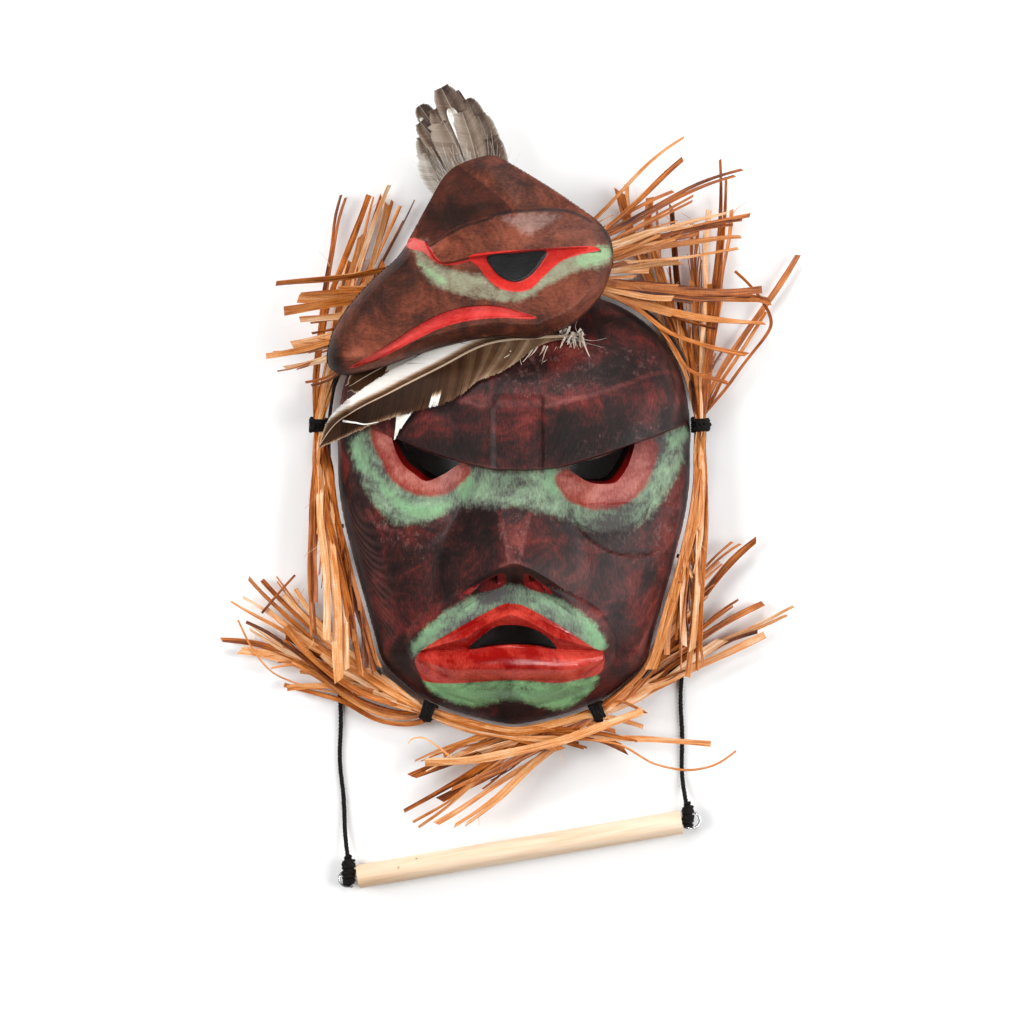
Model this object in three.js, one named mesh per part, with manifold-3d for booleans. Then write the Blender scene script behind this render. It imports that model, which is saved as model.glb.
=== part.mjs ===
// Cedar raven mask lying on its back, in millimetres: +Z out of the face, +Y to the crown, floor at z = 0.
import * as THREE from "three";
import { mergeVertices } from "three/addons/utils/BufferGeometryUtils.js";
import { ConvexGeometry } from "three/addons/geometries/ConvexGeometry.js";
import Module from "manifold-3d";

const wasm = await Module();
wasm.setup();

// Driving sizes
const faceCentreY = -11;
const rimHeight = 8;
const wall = 10;
const clearance = 0.3;
const hoopOffset = 6;
const hoopHeight = 14;
const hoopWire = 1.2;
const barkThickness = 1.4;
const dowelRadius = 7.95;
const dowelEnds = [[-106, -263], [113.6, -225.9]];
const eyeRing = 5.4;
const eyeWire = 0.8;
const cordRadius = 1.5;
const ravenBack = 36;
const ravenEdge = 66;
const neckSize = 6;
const besideHoop = hoopHeight;
const overHoop = hoopHeight + 8;
const lowFan = 9;
const highFan = 28;

// Radius of the mask's outline from its centre, by angle in degrees above the level of the centre
const outlineRadius = [
  [-90, 148.5], [-78, 145.5], [-65, 144], [-57, 141], [-50, 138], [-43, 128.8], [-34, 120.6],
  [-26, 116.4], [-16, 114.2], [-7, 115], [3, 118], [16, 124], [22, 129], [29, 135.2],
  [38, 143.5], [50, 151], [62, 152.5], [76, 149], [90, 147],
];
// Height of the plain shell on the mask's middle line, below the brow, by y
const midline = [[-160, 40], [-140, 46], [-120, 53], [-100, 56], [-60, 58], [20, 58]];
// Lower edge of the brow, by distance from the middle line
const browLeft = [[0, 12], [17, 13], [56, 24], [90, 38], [118, 51]];
const browRight = [[0, 12], [9, 12], [33, 14.5], [78, 29], [114, 43], [124, 47]];
// Nose: height, half width of its flat ridge, and half width at the cheek, by y
const noseUnder = 13;
const noseRise = [[-64, 32], [-49, 30], [-25, 18], [0, 8], [14, 4]];
const noseRidge = [[-49, 5], [-20, 8], [0, 11], [14, 13]];
const noseSpread = [[-60, 40], [-49, 38], [-25, 30], [0, 23], [14, 20]];

// Smooth value between the points of a table of pairs
function valueAt(table, t) {
  const last = table.length - 1;
  if (t <= table[0][0]) return table[0][1];
  if (t >= table[last][0]) return table[last][1];
  let i = 0;
  while (table[i + 1][0] < t) i += 1;
  const slope = (a, b) => (table[b][1] - table[a][1]) / (table[b][0] - table[a][0]);
  const step = table[i + 1][0] - table[i][0];
  const start = slope(Math.max(i - 1, 0), i + 1) * step;
  const end = slope(i, Math.min(i + 2, last)) * step;
  const s = (t - table[i][0]) / step;
  const rise = table[i + 1][1] - table[i][1];
  return table[i][1] + s * (start + s * (3 * rise - 2 * start - end + s * (start + end - 2 * rise)));
}

const clamp = (value, low, high) => Math.min(Math.max(value, low), high);
const ramp = (value, low, high) => clamp((value - low) / (high - low), 0, 1);
const bump = (x, y, cx, cy, rx, ry) => Math.max(0, 1 - ((x - cx) / rx) ** 2 - ((y - cy) / ry) ** 2);

function faceRadius(x, y) {
  return valueAt(outlineRadius, (Math.atan2(y - faceCentreY, Math.abs(x)) * 180) / Math.PI);
}

function shellAt(x, y, inset) {
  const part = Math.hypot(x, y - faceCentreY) / (faceRadius(x, y) - inset);
  return Math.sqrt(1 - Math.min(part, 1) ** 4);
}

// Forehead, brow blocks and the strip between them
const browRidge = (side) => 48 + 0.26 * Math.max(side, 20);
const browEdge = (x) => valueAt(x < 0 ? browLeft : browRight, Math.abs(x));

function browHeight(x, y) {
  const side = Math.abs(x);
  const ridge = browRidge(side);
  let top = y > ridge ? 74 - 0.42 * (y - ridge) : 74 + 0.08 * (ridge - y);
  if (x > -14 && x < 19 && y < 60) top -= 2.5;
  if (side > 104) top -= 1.5 * (side - 104);
  return rimHeight + (top - rimHeight) * shellAt(x, y, 0);
}

const noseArch = (side) => -49 - 20 * (Math.min(side, 42) / 36) ** 1.4;

function noseHeight(x, y) {
  const side = Math.abs(x);
  const slope = 1 - ramp(side, valueAt(noseRidge, y), valueAt(noseSpread, y));
  return valueAt(noseRise, y) * slope * (1 - ramp(noseArch(side) - y, 0, noseUnder));
}

// Lines where the planes of the lips meet, by distance to the side
function lipLines(side) {
  const top = -77 - 31 * (Math.min(side, 66) / 62) ** 1.05;
  const upper = side < 29 ? -90 - 16 * (side / 29) ** 1.6 : -106 - 2 * ramp(side, 29, 60);
  const lower = side < 29 ? -103.5 - 2.5 * (side / 29) : upper - 1;
  const bottom = -127.5 + 13 * ramp(side, 36, 62) ** 1.5;
  return {
    top, upper, lower, bottom,
    upperCrest: top + 0.45 * (upper - top),
    lowerCrest: lower + 0.3 * (bottom - lower),
    lowerEdge: lower + 0.62 * (bottom - lower),
  };
}

// Mouth mound with the upper lip in two planes and the lower lip in three
function lipHeight(x, y) {
  const side = Math.abs(x + 2);
  const mound = 12 * Math.sqrt(bump(x, y, -2, -104, 70, 42));
  const line = lipLines(side);
  let lip = 0;
  if (side < 62 && y < line.top && y > line.bottom) {
    if (y > line.upperCrest) lip = 1.5 + 5 * ramp(-y, -line.top, -line.upperCrest);
    else if (y > line.lower) lip = 6.5 - 8 * ramp(-y, -line.upperCrest, -line.upper);
    else if (y > line.lowerCrest) lip = 1 + 7 * ramp(-y, -line.lower, -line.lowerCrest);
    else if (y > line.lowerEdge) lip = 8;
    else lip = 8 - 6 * ramp(-y, -line.lowerEdge, -line.bottom);
  }
  return mound + lip * (1 - 0.5 * ramp(side, 45, 62));
}

function faceHeight(x, y) {
  const side = Math.abs(x);
  if (y > browEdge(x)) return browHeight(x, y);
  const base = rimHeight + (valueAt(midline, y) - rimHeight) * shellAt(x, y, 0);
  const eye = 5 * bump(side, y, 61, 10, 40, 36) - 3 * bump(side, y, 34, 0, 16, 24);
  const cheek = Math.hypot(side - 80, y) < 45 && y < -10 ? 1.5 : 0;
  return base + eye + cheek + noseHeight(x, y) + lipHeight(x, y);
}

function hollowHeight(x, y) {
  const crown = y > 20 ? 44 + 0.1 * (y - 20) - 0.45 * Math.max(y - 50, 0) : valueAt(midline, y) - 15;
  return 5 + (crown - 5) * shellAt(x, y, wall) + 0.45 * noseHeight(x, y);
}

// Solids and geometries
function toSolid(geometry, reach = 1e-4) {
  const bare = new THREE.BufferGeometry();
  bare.setAttribute("position", geometry.getAttribute("position"));
  if (geometry.index) bare.setIndex(geometry.index);
  const merged = mergeVertices(bare, reach);
  const corners = merged.index.array;
  const triVerts = new Uint32Array(corners.length);
  let kept = 0;
  for (let i = 0; i < corners.length; i += 3) {
    const [a, b, c] = corners.slice(i, i + 3);
    if (a === b || b === c || c === a) continue;
    triVerts.set([a, b, c], kept);
    kept += 3;
  }
  return new wasm.Manifold(
    new wasm.Mesh({
      numProp: 3,
      vertProperties: merged.attributes.position.array,
      triVerts: triVerts.slice(0, kept),
    }),
  );
}

// The solid with its very short edges closed up
const settled = (solid) => toSolid(toGeometry(solid), 0.04);

function toGeometry(solid) {
  const mesh = solid.getMesh();
  const geometry = new THREE.BufferGeometry();
  geometry.setAttribute("position", new THREE.BufferAttribute(mesh.vertProperties, 3));
  geometry.setIndex(new THREE.BufferAttribute(mesh.triVerts, 1));
  const flat = geometry.toNonIndexed();
  flat.computeVertexNormals();
  return flat;
}

// Grid lines from a start through stops, each with its number of cells
function gridLines(start, ...stops) {
  const lines = [start];
  for (const [to, cells] of stops) {
    const from = lines[lines.length - 1];
    for (let i = 1; i <= cells; i += 1) lines.push(from + ((to - from) * i) / cells);
  }
  return lines;
}

function prism(points, bottom, top) {
  const shape = new THREE.Shape(points.map(([x, y]) => new THREE.Vector2(x, y)));
  const geometry = new THREE.ExtrudeGeometry(shape, { depth: top - bottom, bevelEnabled: false });
  return geometry.translate(0, 0, bottom);
}

// A carved relief: a block whose top follows a height function, cut to an outline
function relief(columns, rowsAt, bottom, height, outline) {
  const nx = columns.length - 1;
  const ny = rowsAt(0).length - 1;
  const block = new THREE.BoxGeometry(1, 1, 1, nx, ny, 1);
  const place = block.getAttribute("position");
  for (let i = 0; i < place.count; i += 1) {
    const x = columns[Math.round((place.getX(i) + 0.5) * nx)];
    const y = rowsAt(x)[Math.round((place.getY(i) + 0.5) * ny)];
    place.setXYZ(i, x, y, place.getZ(i) > 0 ? height(x, y) : bottom - 20);
  }
  return toSolid(block).intersect(toSolid(prism(outline, bottom, 200)));
}

function faceOutline(inset) {
  const points = [];
  for (let i = 0; i < 48; i += 1) {
    const angle = (i / 48) * 2 * Math.PI;
    const level = (Math.asin(Math.sin(angle)) * 180) / Math.PI;
    const radius = valueAt(outlineRadius, level) - inset;
    points.push([radius * Math.cos(angle), faceCentreY + radius * Math.sin(angle)]);
  }
  return points;
}

// Eye holes and mouth, cut through square to the carved surface
const eyeHoleRight = [[36, 15], [44, 7], [50, 4], [58, 3], [67, 4], [73, 10], [78, 19], [80, 30], [58, 21]];
const eyeHoleLeft = [[-82, 35], [-76, 18], [-65, 9], [-57, 5], [-47, 9], [-41, 13], [-37, 17.5], [-56, 24.5]];
const mouthHole = [
  [-30, -106], [-22, -98], [-12, -91], [-1, -90], [10, -91.5],
  [21, -97], [28, -106], [16, -104], [-1, -103], [-14, -104],
];

function slantedHole(points, leanX, leanY) {
  const order = THREE.ShapeUtils.isClockWise(points.map(([x, y]) => new THREE.Vector2(x, y)));
  const geometry = prism(order ? [...points].reverse() : points, 5, 90);
  const lean = new THREE.Matrix4().set(
    1, 0, leanX, -60 * leanX,
    0, 1, leanY, -60 * leanY,
    0, 0, 1, 0,
    0, 0, 0, 1,
  );
  return toSolid(geometry.applyMatrix4(lean));
}

// Nostrils: three-sided pockets in the underside of the nose, 5 mm deep
const nostrils = [
  [[-33, -68.5, 65], [-9, -55.5, 78], [-9, -64, 64]],
  [[24, -68, 64], [8.5, -55.5, 78], [8.5, -64, 64]],
];
function pocket(corners) {
  const out = new THREE.Vector3(0, -0.87, 0.5);
  const rim = corners.map((corner) => new THREE.Vector3(...corner));
  const middle = new THREE.Vector3().add(rim[0]).add(rim[1]).add(rim[2]).divideScalar(3);
  const floor = rim.map((corner) => corner.clone().lerp(middle, 0.4).addScaledVector(out, -5));
  const lid = rim.map((corner) => corner.clone().addScaledVector(out, 4));
  return toSolid(new ConvexGeometry([...floor, ...lid]));
}

// The grid's rows run along the carved edges: lips, nose, brow and forehead ridge
const faceColumns = gridLines(-126, [-64, 6], [64, 26], [126, 6]);
function faceRows(x) {
  const lip = lipLines(Math.abs(x + 2));
  const arch = noseArch(Math.abs(x));
  const brow = browEdge(x);
  return gridLines(
    -164, [lip.bottom, 3], [lip.lowerEdge, 1], [lip.lowerCrest, 1], [lip.lower, 1], [lip.upper, 1],
    [lip.upperCrest, 1], [lip.top, 1], [Math.max(lip.top + 2, arch - noseUnder), 1], [arch, 1],
    [-20, 4], [brow - 0.5, 4], [brow + 0.5, 1], [browRidge(Math.abs(x)), 3], [140, 5],
  );
}
const hollowColumns = gridLines(-120, [120, 13]);
const hollowRows = () => gridLines(-160, [138, 15]);

const face = relief(faceColumns, faceRows, 0, faceHeight, faceOutline(0))
  .subtract(relief(hollowColumns, hollowRows, -5, hollowHeight, faceOutline(wall)))
  .subtract(slantedHole(eyeHoleRight, 0.35, -0.2))
  .subtract(slantedHole(eyeHoleLeft, -0.35, -0.2))
  .subtract(slantedHole(mouthHole, 0, 0))
  .subtract(pocket(nostrils[0]))
  .subtract(pocket(nostrils[1]));

// Raven head in profile, beak to the left
const ravenOutline = [
  [-70, 161], [-59, 181], [-48, 201], [-41, 209], [-34, 213], [-25, 216], [-15, 218], [-7, 215],
  [23, 197], [45, 182], [57, 173], [63, 163], [65, 153], [64, 144], [57, 127], [40, 110],
  [23, 102], [12, 99], [-12, 100], [-32, 97], [-61, 89], [-83, 81], [-105, 76], [-115, 76],
  [-121, 79], [-123, 87], [-119, 103], [-109, 119], [-93, 137], [-78, 150],
];
const ravenBrowEdge = [
  [-74, 161], [-59, 161], [-55, 155], [-49, 147], [-42, 146], [-27, 149], [18, 154], [66, 157],
];
const ravenBrowTop = [
  [-70, 157], [-55, 158], [-37, 169], [-8, 179], [16, 181], [37, 180], [52, 173], [66, 165],
];
const ravenMouthTop = [[-106, 79], [-83, 93], [-61, 107], [-40, 116], [-20, 119], [-5, 117], [13, 111]];
const ravenMouthLow = [[-106, 79], [-90, 83], [-69, 94], [-48, 104], [-27, 110], [-8, 111], [13, 111]];

function edgeDistance(points, x, y) {
  let nearest = Infinity;
  points.forEach(([ax, ay], i) => {
    const [bx, by] = points[(i + 1) % points.length];
    const [dx, dy] = [bx - ax, by - ay];
    const along = clamp(((x - ax) * dx + (y - ay) * dy) / (dx * dx + dy * dy), 0, 1);
    nearest = Math.min(nearest, Math.hypot(x - ax - along * dx, y - ay - along * dy));
  });
  return nearest;
}

function ravenHeight(x, y) {
  const inside = edgeDistance(ravenOutline, x, y);
  const beak = ramp(-x, 40, 115);
  const rise = 30 - 12 * beak;
  const roundness = 22 - 4 * beak;
  const pillow = ravenEdge + rise * Math.sqrt(1 - (1 - Math.min(inside / roundness, 1)) ** 2);
  const browTop = valueAt(ravenBrowTop, x);
  if (y > valueAt(ravenBrowEdge, x) && x > -72) {
    const brow = 98 - 14 * ((x + 5) / 62) ** 2;
    const crownLeft = brow - 2 - 0.62 * (y - browTop) + 0.18 * (x + 20);
    const crownRight = brow - 1 - 0.55 * (y - browTop) - 0.12 * (x + 20);
    const crown = y > browTop ? Math.min(crownLeft, crownRight) : brow;
    return Math.min(pillow + 6, crown);
  }
  let top = Math.min(pillow, 88 - 6 * beak);
  if (x > -106 && x < 13 && y < valueAt(ravenMouthTop, x) && y > valueAt(ravenMouthLow, x)) top -= 3;
  return top;
}

// The head's back is flat over the hoop and follows the forehead below it, with room there for the feathers
const forehead = (x, y) => (Math.hypot(x, y - faceCentreY) > faceRadius(x, y) + 1 ? 0 : browHeight(x, y));
const foreheadRoom = (x, y) => forehead(x, y) + clearance + 6 * ramp(108 - y, 0, 7);
const ravenColumns = gridLines(-126, [68, 30]);
function ravenRows(x) {
  const mouth = valueAt(ravenMouthLow, x);
  const brow = valueAt(ravenBrowEdge, x);
  return gridLines(
    70, [mouth, 3], [Math.max(mouth + 1, valueAt(ravenMouthTop, x)), 2], [brow - 0.5, 5], [brow + 0.5, 1],
    [Math.max(brow + 2, valueAt(ravenBrowTop, x)), 3], [222, 5],
  );
}
const roomColumns = gridLines(-126, [68, 16]);
const roomRows = () => gridLines(73, [141, 9]);
const raven = relief(ravenColumns, ravenRows, ravenBack, ravenHeight, [...ravenOutline].reverse())
  .subtract(relief(roomColumns, roomRows, 0, foreheadRoom, faceOutline(-1)));

// Hoop and its pegs
function hoopPoint(angle) {
  const level = (Math.asin(Math.sin(angle)) * 180) / Math.PI;
  const radius = valueAt(outlineRadius, level) + hoopOffset;
  return new THREE.Vector3(radius * Math.cos(angle), faceCentreY + radius * Math.sin(angle), hoopHeight);
}

function hoopTube(radius, sides) {
  const points = [];
  for (let i = 0; i < 40; i += 1) points.push(hoopPoint((i / 40) * 2 * Math.PI));
  return new THREE.TubeGeometry(new THREE.CatmullRomCurve3(points, true), 48, radius, sides, true);
}

function rod(from, to, radius, sides) {
  const start = new THREE.Vector3(...from);
  const along = new THREE.Vector3(...to).sub(start);
  const geometry = new THREE.CylinderGeometry(radius, radius, along.length(), sides);
  const up = new THREE.Vector3(0, 1, 0);
  const turn = new THREE.Quaternion().setFromUnitVectors(up, along.clone().normalize());
  return geometry.applyQuaternion(turn).translate(...start.addScaledVector(along, 0.5).toArray());
}

function peg(angle) {
  const outer = hoopPoint(angle);
  const middle = new THREE.Vector3(0, faceCentreY, hoopHeight);
  const out = outer.clone().sub(middle).normalize();
  const end = outer.clone().addScaledVector(out, -hoopWire - clearance);
  const start = outer.clone().addScaledVector(out, -hoopOffset + 0.9);
  return rod(start.toArray(), end.toArray(), 1.4, 8);
}

// A strip of bark: a thin box bent along a curve, level across
function strip(points, width, neckWidth, thickness, cells) {
  const curve = new THREE.CatmullRomCurve3(points.map((p) => new THREE.Vector3(...p)));
  const geometry = new THREE.BoxGeometry(1, 1, 1, cells, 1, 1);
  const place = geometry.getAttribute("position");
  const up = new THREE.Vector3(0, 0, 1);
  for (let i = 0; i < place.count; i += 1) {
    const t = place.getX(i) + 0.5;
    const middle = curve.getPoint(t);
    const across = new THREE.Vector3().crossVectors(up, curve.getTangent(t)).normalize();
    const wide = neckWidth + (width - neckWidth) * ramp(Math.abs(t - 0.5), 0.06, 0.2);
    middle.addScaledVector(across, place.getY(i) * wide);
    place.setXYZ(i, middle.x, middle.y, middle.z + place.getZ(i) * thickness);
  }
  return toSolid(geometry);
}

// A bundle: strips that all pass through one neck, each from a tip at one end to a tip at the other
function bundle({ neck, direction, levels, strips }) {
  const size = Math.hypot(...direction);
  const along = direction.map((part) => part / size);
  let solid = toSolid(
    new THREE.BoxGeometry(12, neckSize, neckSize).rotateZ(Math.atan2(along[1], along[0])).translate(...neck),
  );
  strips.forEach(([start, end, width], i) => {
    const side = ((i % 3) - 1) * 1.1;
    const lift = (((i * 2) % 5) - 2) * 0.8;
    const centre = [neck[0] - along[1] * side, neck[1] + along[0] * side, neck[2] + 0.4 * lift];
    const shoulder = (tip, sign, level) => {
      const low = Math.min(level, neck[2]) === level;
      const reach = 0.32 * sign * Math.hypot(tip[0] - centre[0], tip[1] - centre[1]);
      return [
        centre[0] + along[0] * reach + 0.14 * (tip[0] - centre[0]),
        centre[1] + along[1] * reach + 0.14 * (tip[1] - centre[1]),
        (low ? 0.4 * level + 0.6 * neck[2] : level) + lift,
      ];
    };
    const points = [
      [...start, levels[0] + lift], shoulder(start, -1, levels[0]), centre,
      shoulder(end, 1, levels[1]), [...end, levels[1] + lift],
    ];
    solid = solid.add(strip(points, width, 3, barkThickness, 7));
  });
  return solid;
}

const bundles = {
  left: {
    neck: [-132, 43, besideHoop], direction: [0.03, 1], levels: [highFan, lowFan],
    strips: [
      [[-134, -108], [-113, 207], 5], [[-118, -129], [-85, 206], 6], [[-104, -126], [-98, 199], 5],
      [[-94, -123], [-83, 196], 7.5], [[-126, -95], [-68, 196], 6], [[-110, -112], [-121, 170], 6],
    ],
  },
  right: {
    neck: [125.5, 43, overHoop], direction: [-0.02, 1], levels: [highFan, lowFan],
    strips: [
      [[92, -117], [76, 202], 7.5], [[112, -128], [144, 230], 7.5], [[117, -126], [107, 190], 5.5],
      [[124, -125], [122, 184], 6], [[88, -117], [195, 159], 4.5], [[127, -118], [131, 189], 6],
    ],
  },
  top: {
    neck: [-9, 143, overHoop], direction: [1, 0.03], levels: [highFan, highFan],
    strips: [
      [[-160, 137], [114, 237], 4], [[-145, 127], [156, 214], 5], [[-166, 89], [166, 134], 5],
      [[-154, 119], [162, 180], 5], [[-148, 69], [172, 125], 6], [[-134, 84], [143, 72], 5],
    ],
  },
  lower_left: {
    neck: [-58, -150, overHoop], direction: [1, -0.4], levels: [lowFan, highFan],
    strips: [
      [[-197, -101], [88, -160], 6], [[-192, -75], [132, -171], 4.5], [[-179, -60], [82, -169], 5],
      [[-155, -135], [40, -166], 7.5], [[-154, -68], [149, -177], 4], [[-116, -144], [60, -165], 7.5],
    ],
  },
  lower_right: {
    neck: [56.5, -150, overHoop], direction: [1, 0.4], levels: [overHoop - 3, lowFan],
    strips: [
      [[-74, -217], [153, -33], 5], [[-67, -228], [165, -33], 5], [[-41, -233], [169, -77], 7.5],
      [[-69, -193], [195, -80], 5.5], [[-43, -203], [170, -99], 6], [[-69, -185], [144, -60], 5],
    ],
  },
};

// Black yarn wound round a bundle's neck and the hoop beside or under it
function tie({ neck, direction }) {
  const along = new THREE.Vector3(direction[0], direction[1], 0).normalize();
  const across = new THREE.Vector3(-along.y, along.x, 0);
  const hoop = hoopPoint(Math.atan2(neck[1] - faceCentreY, neck[0]));
  const points = [];
  for (const [centre, radius] of [[new THREE.Vector3(...neck), 5.4], [hoop, 2.5]]) {
    for (let i = 0; i < 9; i += 1) {
      const turn = (i / 9) * 2 * Math.PI;
      for (const end of [-4.5, 4.5]) {
        const point = centre.clone().addScaledVector(across, radius * Math.cos(turn));
        point.addScaledVector(along, end).z += radius * Math.sin(turn);
        points.push(point);
      }
    }
  }
  const bore = neckSize + 2 * clearance;
  const turned = Math.atan2(along.y, along.x);
  const neckRoom = new THREE.BoxGeometry(14, bore, bore).rotateZ(turned).translate(...neck);
  const hoopRoom = hoopTube(hoopWire + clearance, 6);
  return toSolid(new ConvexGeometry(points)).subtract(toSolid(neckRoom)).subtract(toSolid(hoopRoom));
}

// A feather: a thin blade over a bed, with its own half width on each side of the shaft
function feather({ path, left, right, cells, bed }) {
  const curve = new THREE.CatmullRomCurve3(path.map((p) => new THREE.Vector3(...p)));
  const geometry = new THREE.BoxGeometry(1, 1, 1, cells, 2, 1);
  const place = geometry.getAttribute("position");
  for (let i = 0; i < place.count; i += 1) {
    const t = place.getX(i) + 0.5;
    const side = place.getY(i) * 2;
    const middle = curve.getPoint(t);
    const along = curve.getTangent(t);
    const wide = side * Math.max(0.6, valueAt(side > 0 ? left : right, t)) / Math.hypot(along.x, along.y);
    const x = middle.x - along.y * wide;
    const y = middle.y + along.x * wide;
    const thickness = side === 0 ? 1.6 : 1;
    place.setXYZ(i, x, y, middle.z + bed(x, y) + place.getZ(i) * thickness);
  }
  return toSolid(geometry);
}

const foreheadBed = (x, y) => Math.max(forehead(x, y), 38);
const level = () => 0;
const feathers = {
  feather_long: {
    path: [
      [40, 101, 2.2], [14, 99, 2.8], [-14, 97, 3.6], [-49, 84.5, 4], [-84, 65, 5.5],
      [-117, 40, 4], [-128, 28, 1],
    ],
    left: [[0, 0.6], [0.12, 4], [0.25, 22], [0.5, 23], [0.7, 17], [0.88, 9], [1, 0.6]],
    right: [[0, 0.6], [0.3, 3], [0.55, 8], [0.8, 9], [0.93, 4], [1, 0.6]],
    cells: 12, bed: foreheadBed,
  },
  feather_small: {
    path: [[-62, 95, 1.4], [-84, 82, 1.5], [-108, 66, 2]],
    left: [[0, 0.6], [0.5, 4], [0.9, 4], [1, 1]], right: [[0, 0.6], [0.5, 5], [0.9, 5], [1, 1]],
    cells: 6, bed: foreheadBed,
  },
};
const crest = [
  [[[-20, 190, 34.6], [-30, 225, 35], [-45.5, 267, 38]], 7.5],
  [[[-26, 192, 33.2], [-42, 222, 33.4], [-62, 254, 35]], 6.5],
  [[[-22, 190, 31.8], [-33, 222, 32], [-42, 252, 33]], 10],
  [[[-12, 192, 30.4], [-19, 230, 30.6], [-38, 265, 31]], 4],
  [[[-34, 188, 29], [-48, 212, 29], [-62, 237, 30]], 8],
];
crest.forEach(([path, wide], i) => {
  const vane = [[0, 2], [0.45, wide * 0.7], [0.75, wide], [0.93, wide * 0.8], [1, wide * 0.3]];
  feathers["crest_feather_" + (i + 1)] = { path, left: vane, right: vane, cells: 7, bed: level };
});

// Dowel with a screw eye in each end, and the knots round the eyes
const [dowelLeft, dowelRight] = dowelEnds;
const dowelAngle = Math.atan2(dowelRight[1] - dowelLeft[1], dowelRight[0] - dowelLeft[0]);
const dowelDirection = [Math.cos(dowelAngle), Math.sin(dowelAngle)];
const dowel = rod([...dowelLeft, dowelRadius], [...dowelRight, dowelRadius], dowelRadius, 24);

function screwEye(end, sign, wire, shankStart, sides) {
  const [dx, dy] = dowelDirection;
  const at = (distance) => [end[0] + sign * distance * dx, end[1] + sign * distance * dy, dowelRadius];
  const ring = new THREE.TorusGeometry(eyeRing, wire, sides, 16).translate(...at(eyeRing + 1.8));
  return toSolid(ring).add(toSolid(rod(at(shankStart), at(2.2), wire, sides)));
}

function knot(end, sign, centre, radii) {
  const ball = new THREE.SphereGeometry(1, 9, 6).scale(...radii).translate(...centre, dowelRadius);
  return toSolid(ball).subtract(screwEye(end, sign, eyeWire + 1.5 * clearance, -1, 5));
}

// Hanging cords from the hoop down to the knots
function cord(points) {
  const curve = new THREE.CatmullRomCurve3(points.map((p) => new THREE.Vector3(...p)));
  const section = new THREE.Shape();
  section.absarc(0, 0, cordRadius, 0, 2 * Math.PI);
  const settings = { steps: 22, curveSegments: 4, bevelEnabled: false, extrudePath: curve };
  return new THREE.ExtrudeGeometry(section, settings);
}

const cords = {
  cord_left: [
    [-118, -28, 11], [-118.5, -48, 5], [-118, -75, 2.2], [-118, -120, 1.8], [-118, -184, 1.8],
    [-115, -225, 2.4], [-113, -247.2, 7],
  ],
  cord_right: [
    [115.5, -46, 11], [117, -62, 5], [116.5, -85, 2.2], [114, -130, 1.8], [114, -171, 1.8],
    [115.5, -198, 2.4], [117, -211.6, 7],
  ],
};

const materials = {
  cedar: new THREE.MeshStandardMaterial({ color: "#3f2a2a", roughness: 0.62, metalness: 0 }),
  raven: new THREE.MeshStandardMaterial({ color: "#5a362e", roughness: 0.6, metalness: 0 }),
  hoop: new THREE.MeshStandardMaterial({ color: "#1d1a1a", roughness: 0.5, metalness: 0.3 }),
  bark: new THREE.MeshStandardMaterial({ color: "#b8703c", roughness: 0.75, metalness: 0 }),
  yarn: new THREE.MeshStandardMaterial({ color: "#1b1919", roughness: 0.95, metalness: 0 }),
  brownFeather: new THREE.MeshStandardMaterial({ color: "#5b4a3c", roughness: 0.8, metalness: 0 }),
  greyFeather: new THREE.MeshStandardMaterial({ color: "#a39a92", roughness: 0.85, metalness: 0 }),
  birch: new THREE.MeshStandardMaterial({ color: "#e6c79c", roughness: 0.6, metalness: 0 }),
  steel: new THREE.MeshStandardMaterial({ color: "#b9babc", roughness: 0.3, metalness: 1 }),
};

const root = new THREE.Group();
root.name = "cedar_raven_mask";
function add(name, shape, material) {
  const geometry = shape.isBufferGeometry ? shape : toGeometry(shape);
  const mesh = new THREE.Mesh(geometry, material);
  mesh.name = name;
  root.add(mesh);
}

add("face_mask", settled(face), materials.cedar);
add("raven_head", settled(raven), materials.raven);
add("hoop", hoopTube(hoopWire, 6), materials.hoop);
add("hoop_peg_left", peg(Math.PI + 0.12), materials.hoop);
add("hoop_peg_right", peg(-0.3), materials.hoop);
for (const [name, plan] of Object.entries(bundles)) {
  add("bark_bundle_" + name, bundle(plan), materials.bark);
  add("yarn_tie_" + name, tie(plan), materials.yarn);
}
for (const [name, plan] of Object.entries(feathers)) {
  add(name, feather(plan), name.startsWith("crest") ? materials.greyFeather : materials.brownFeather);
}
add("dowel", dowel, materials.birch);
add("screw_eye_left", screwEye(dowelLeft, -1, eyeWire, clearance, 6), materials.steel);
add("screw_eye_right", screwEye(dowelRight, 1, eyeWire, clearance, 6), materials.steel);
add("yarn_knot_left", knot(dowelLeft, -1, [-112.2, -259.5], [4.2, 11.5, 5]), materials.yarn);
add("yarn_knot_right", knot(dowelRight, 1, [118.2, -221.5], [3.9, 9, 5]), materials.yarn);
for (const [name, points] of Object.entries(cords)) add(name, cord(points), materials.yarn);

export default root;
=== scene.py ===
import math

import bpy
import numpy as np
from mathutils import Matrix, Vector, noise


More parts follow.
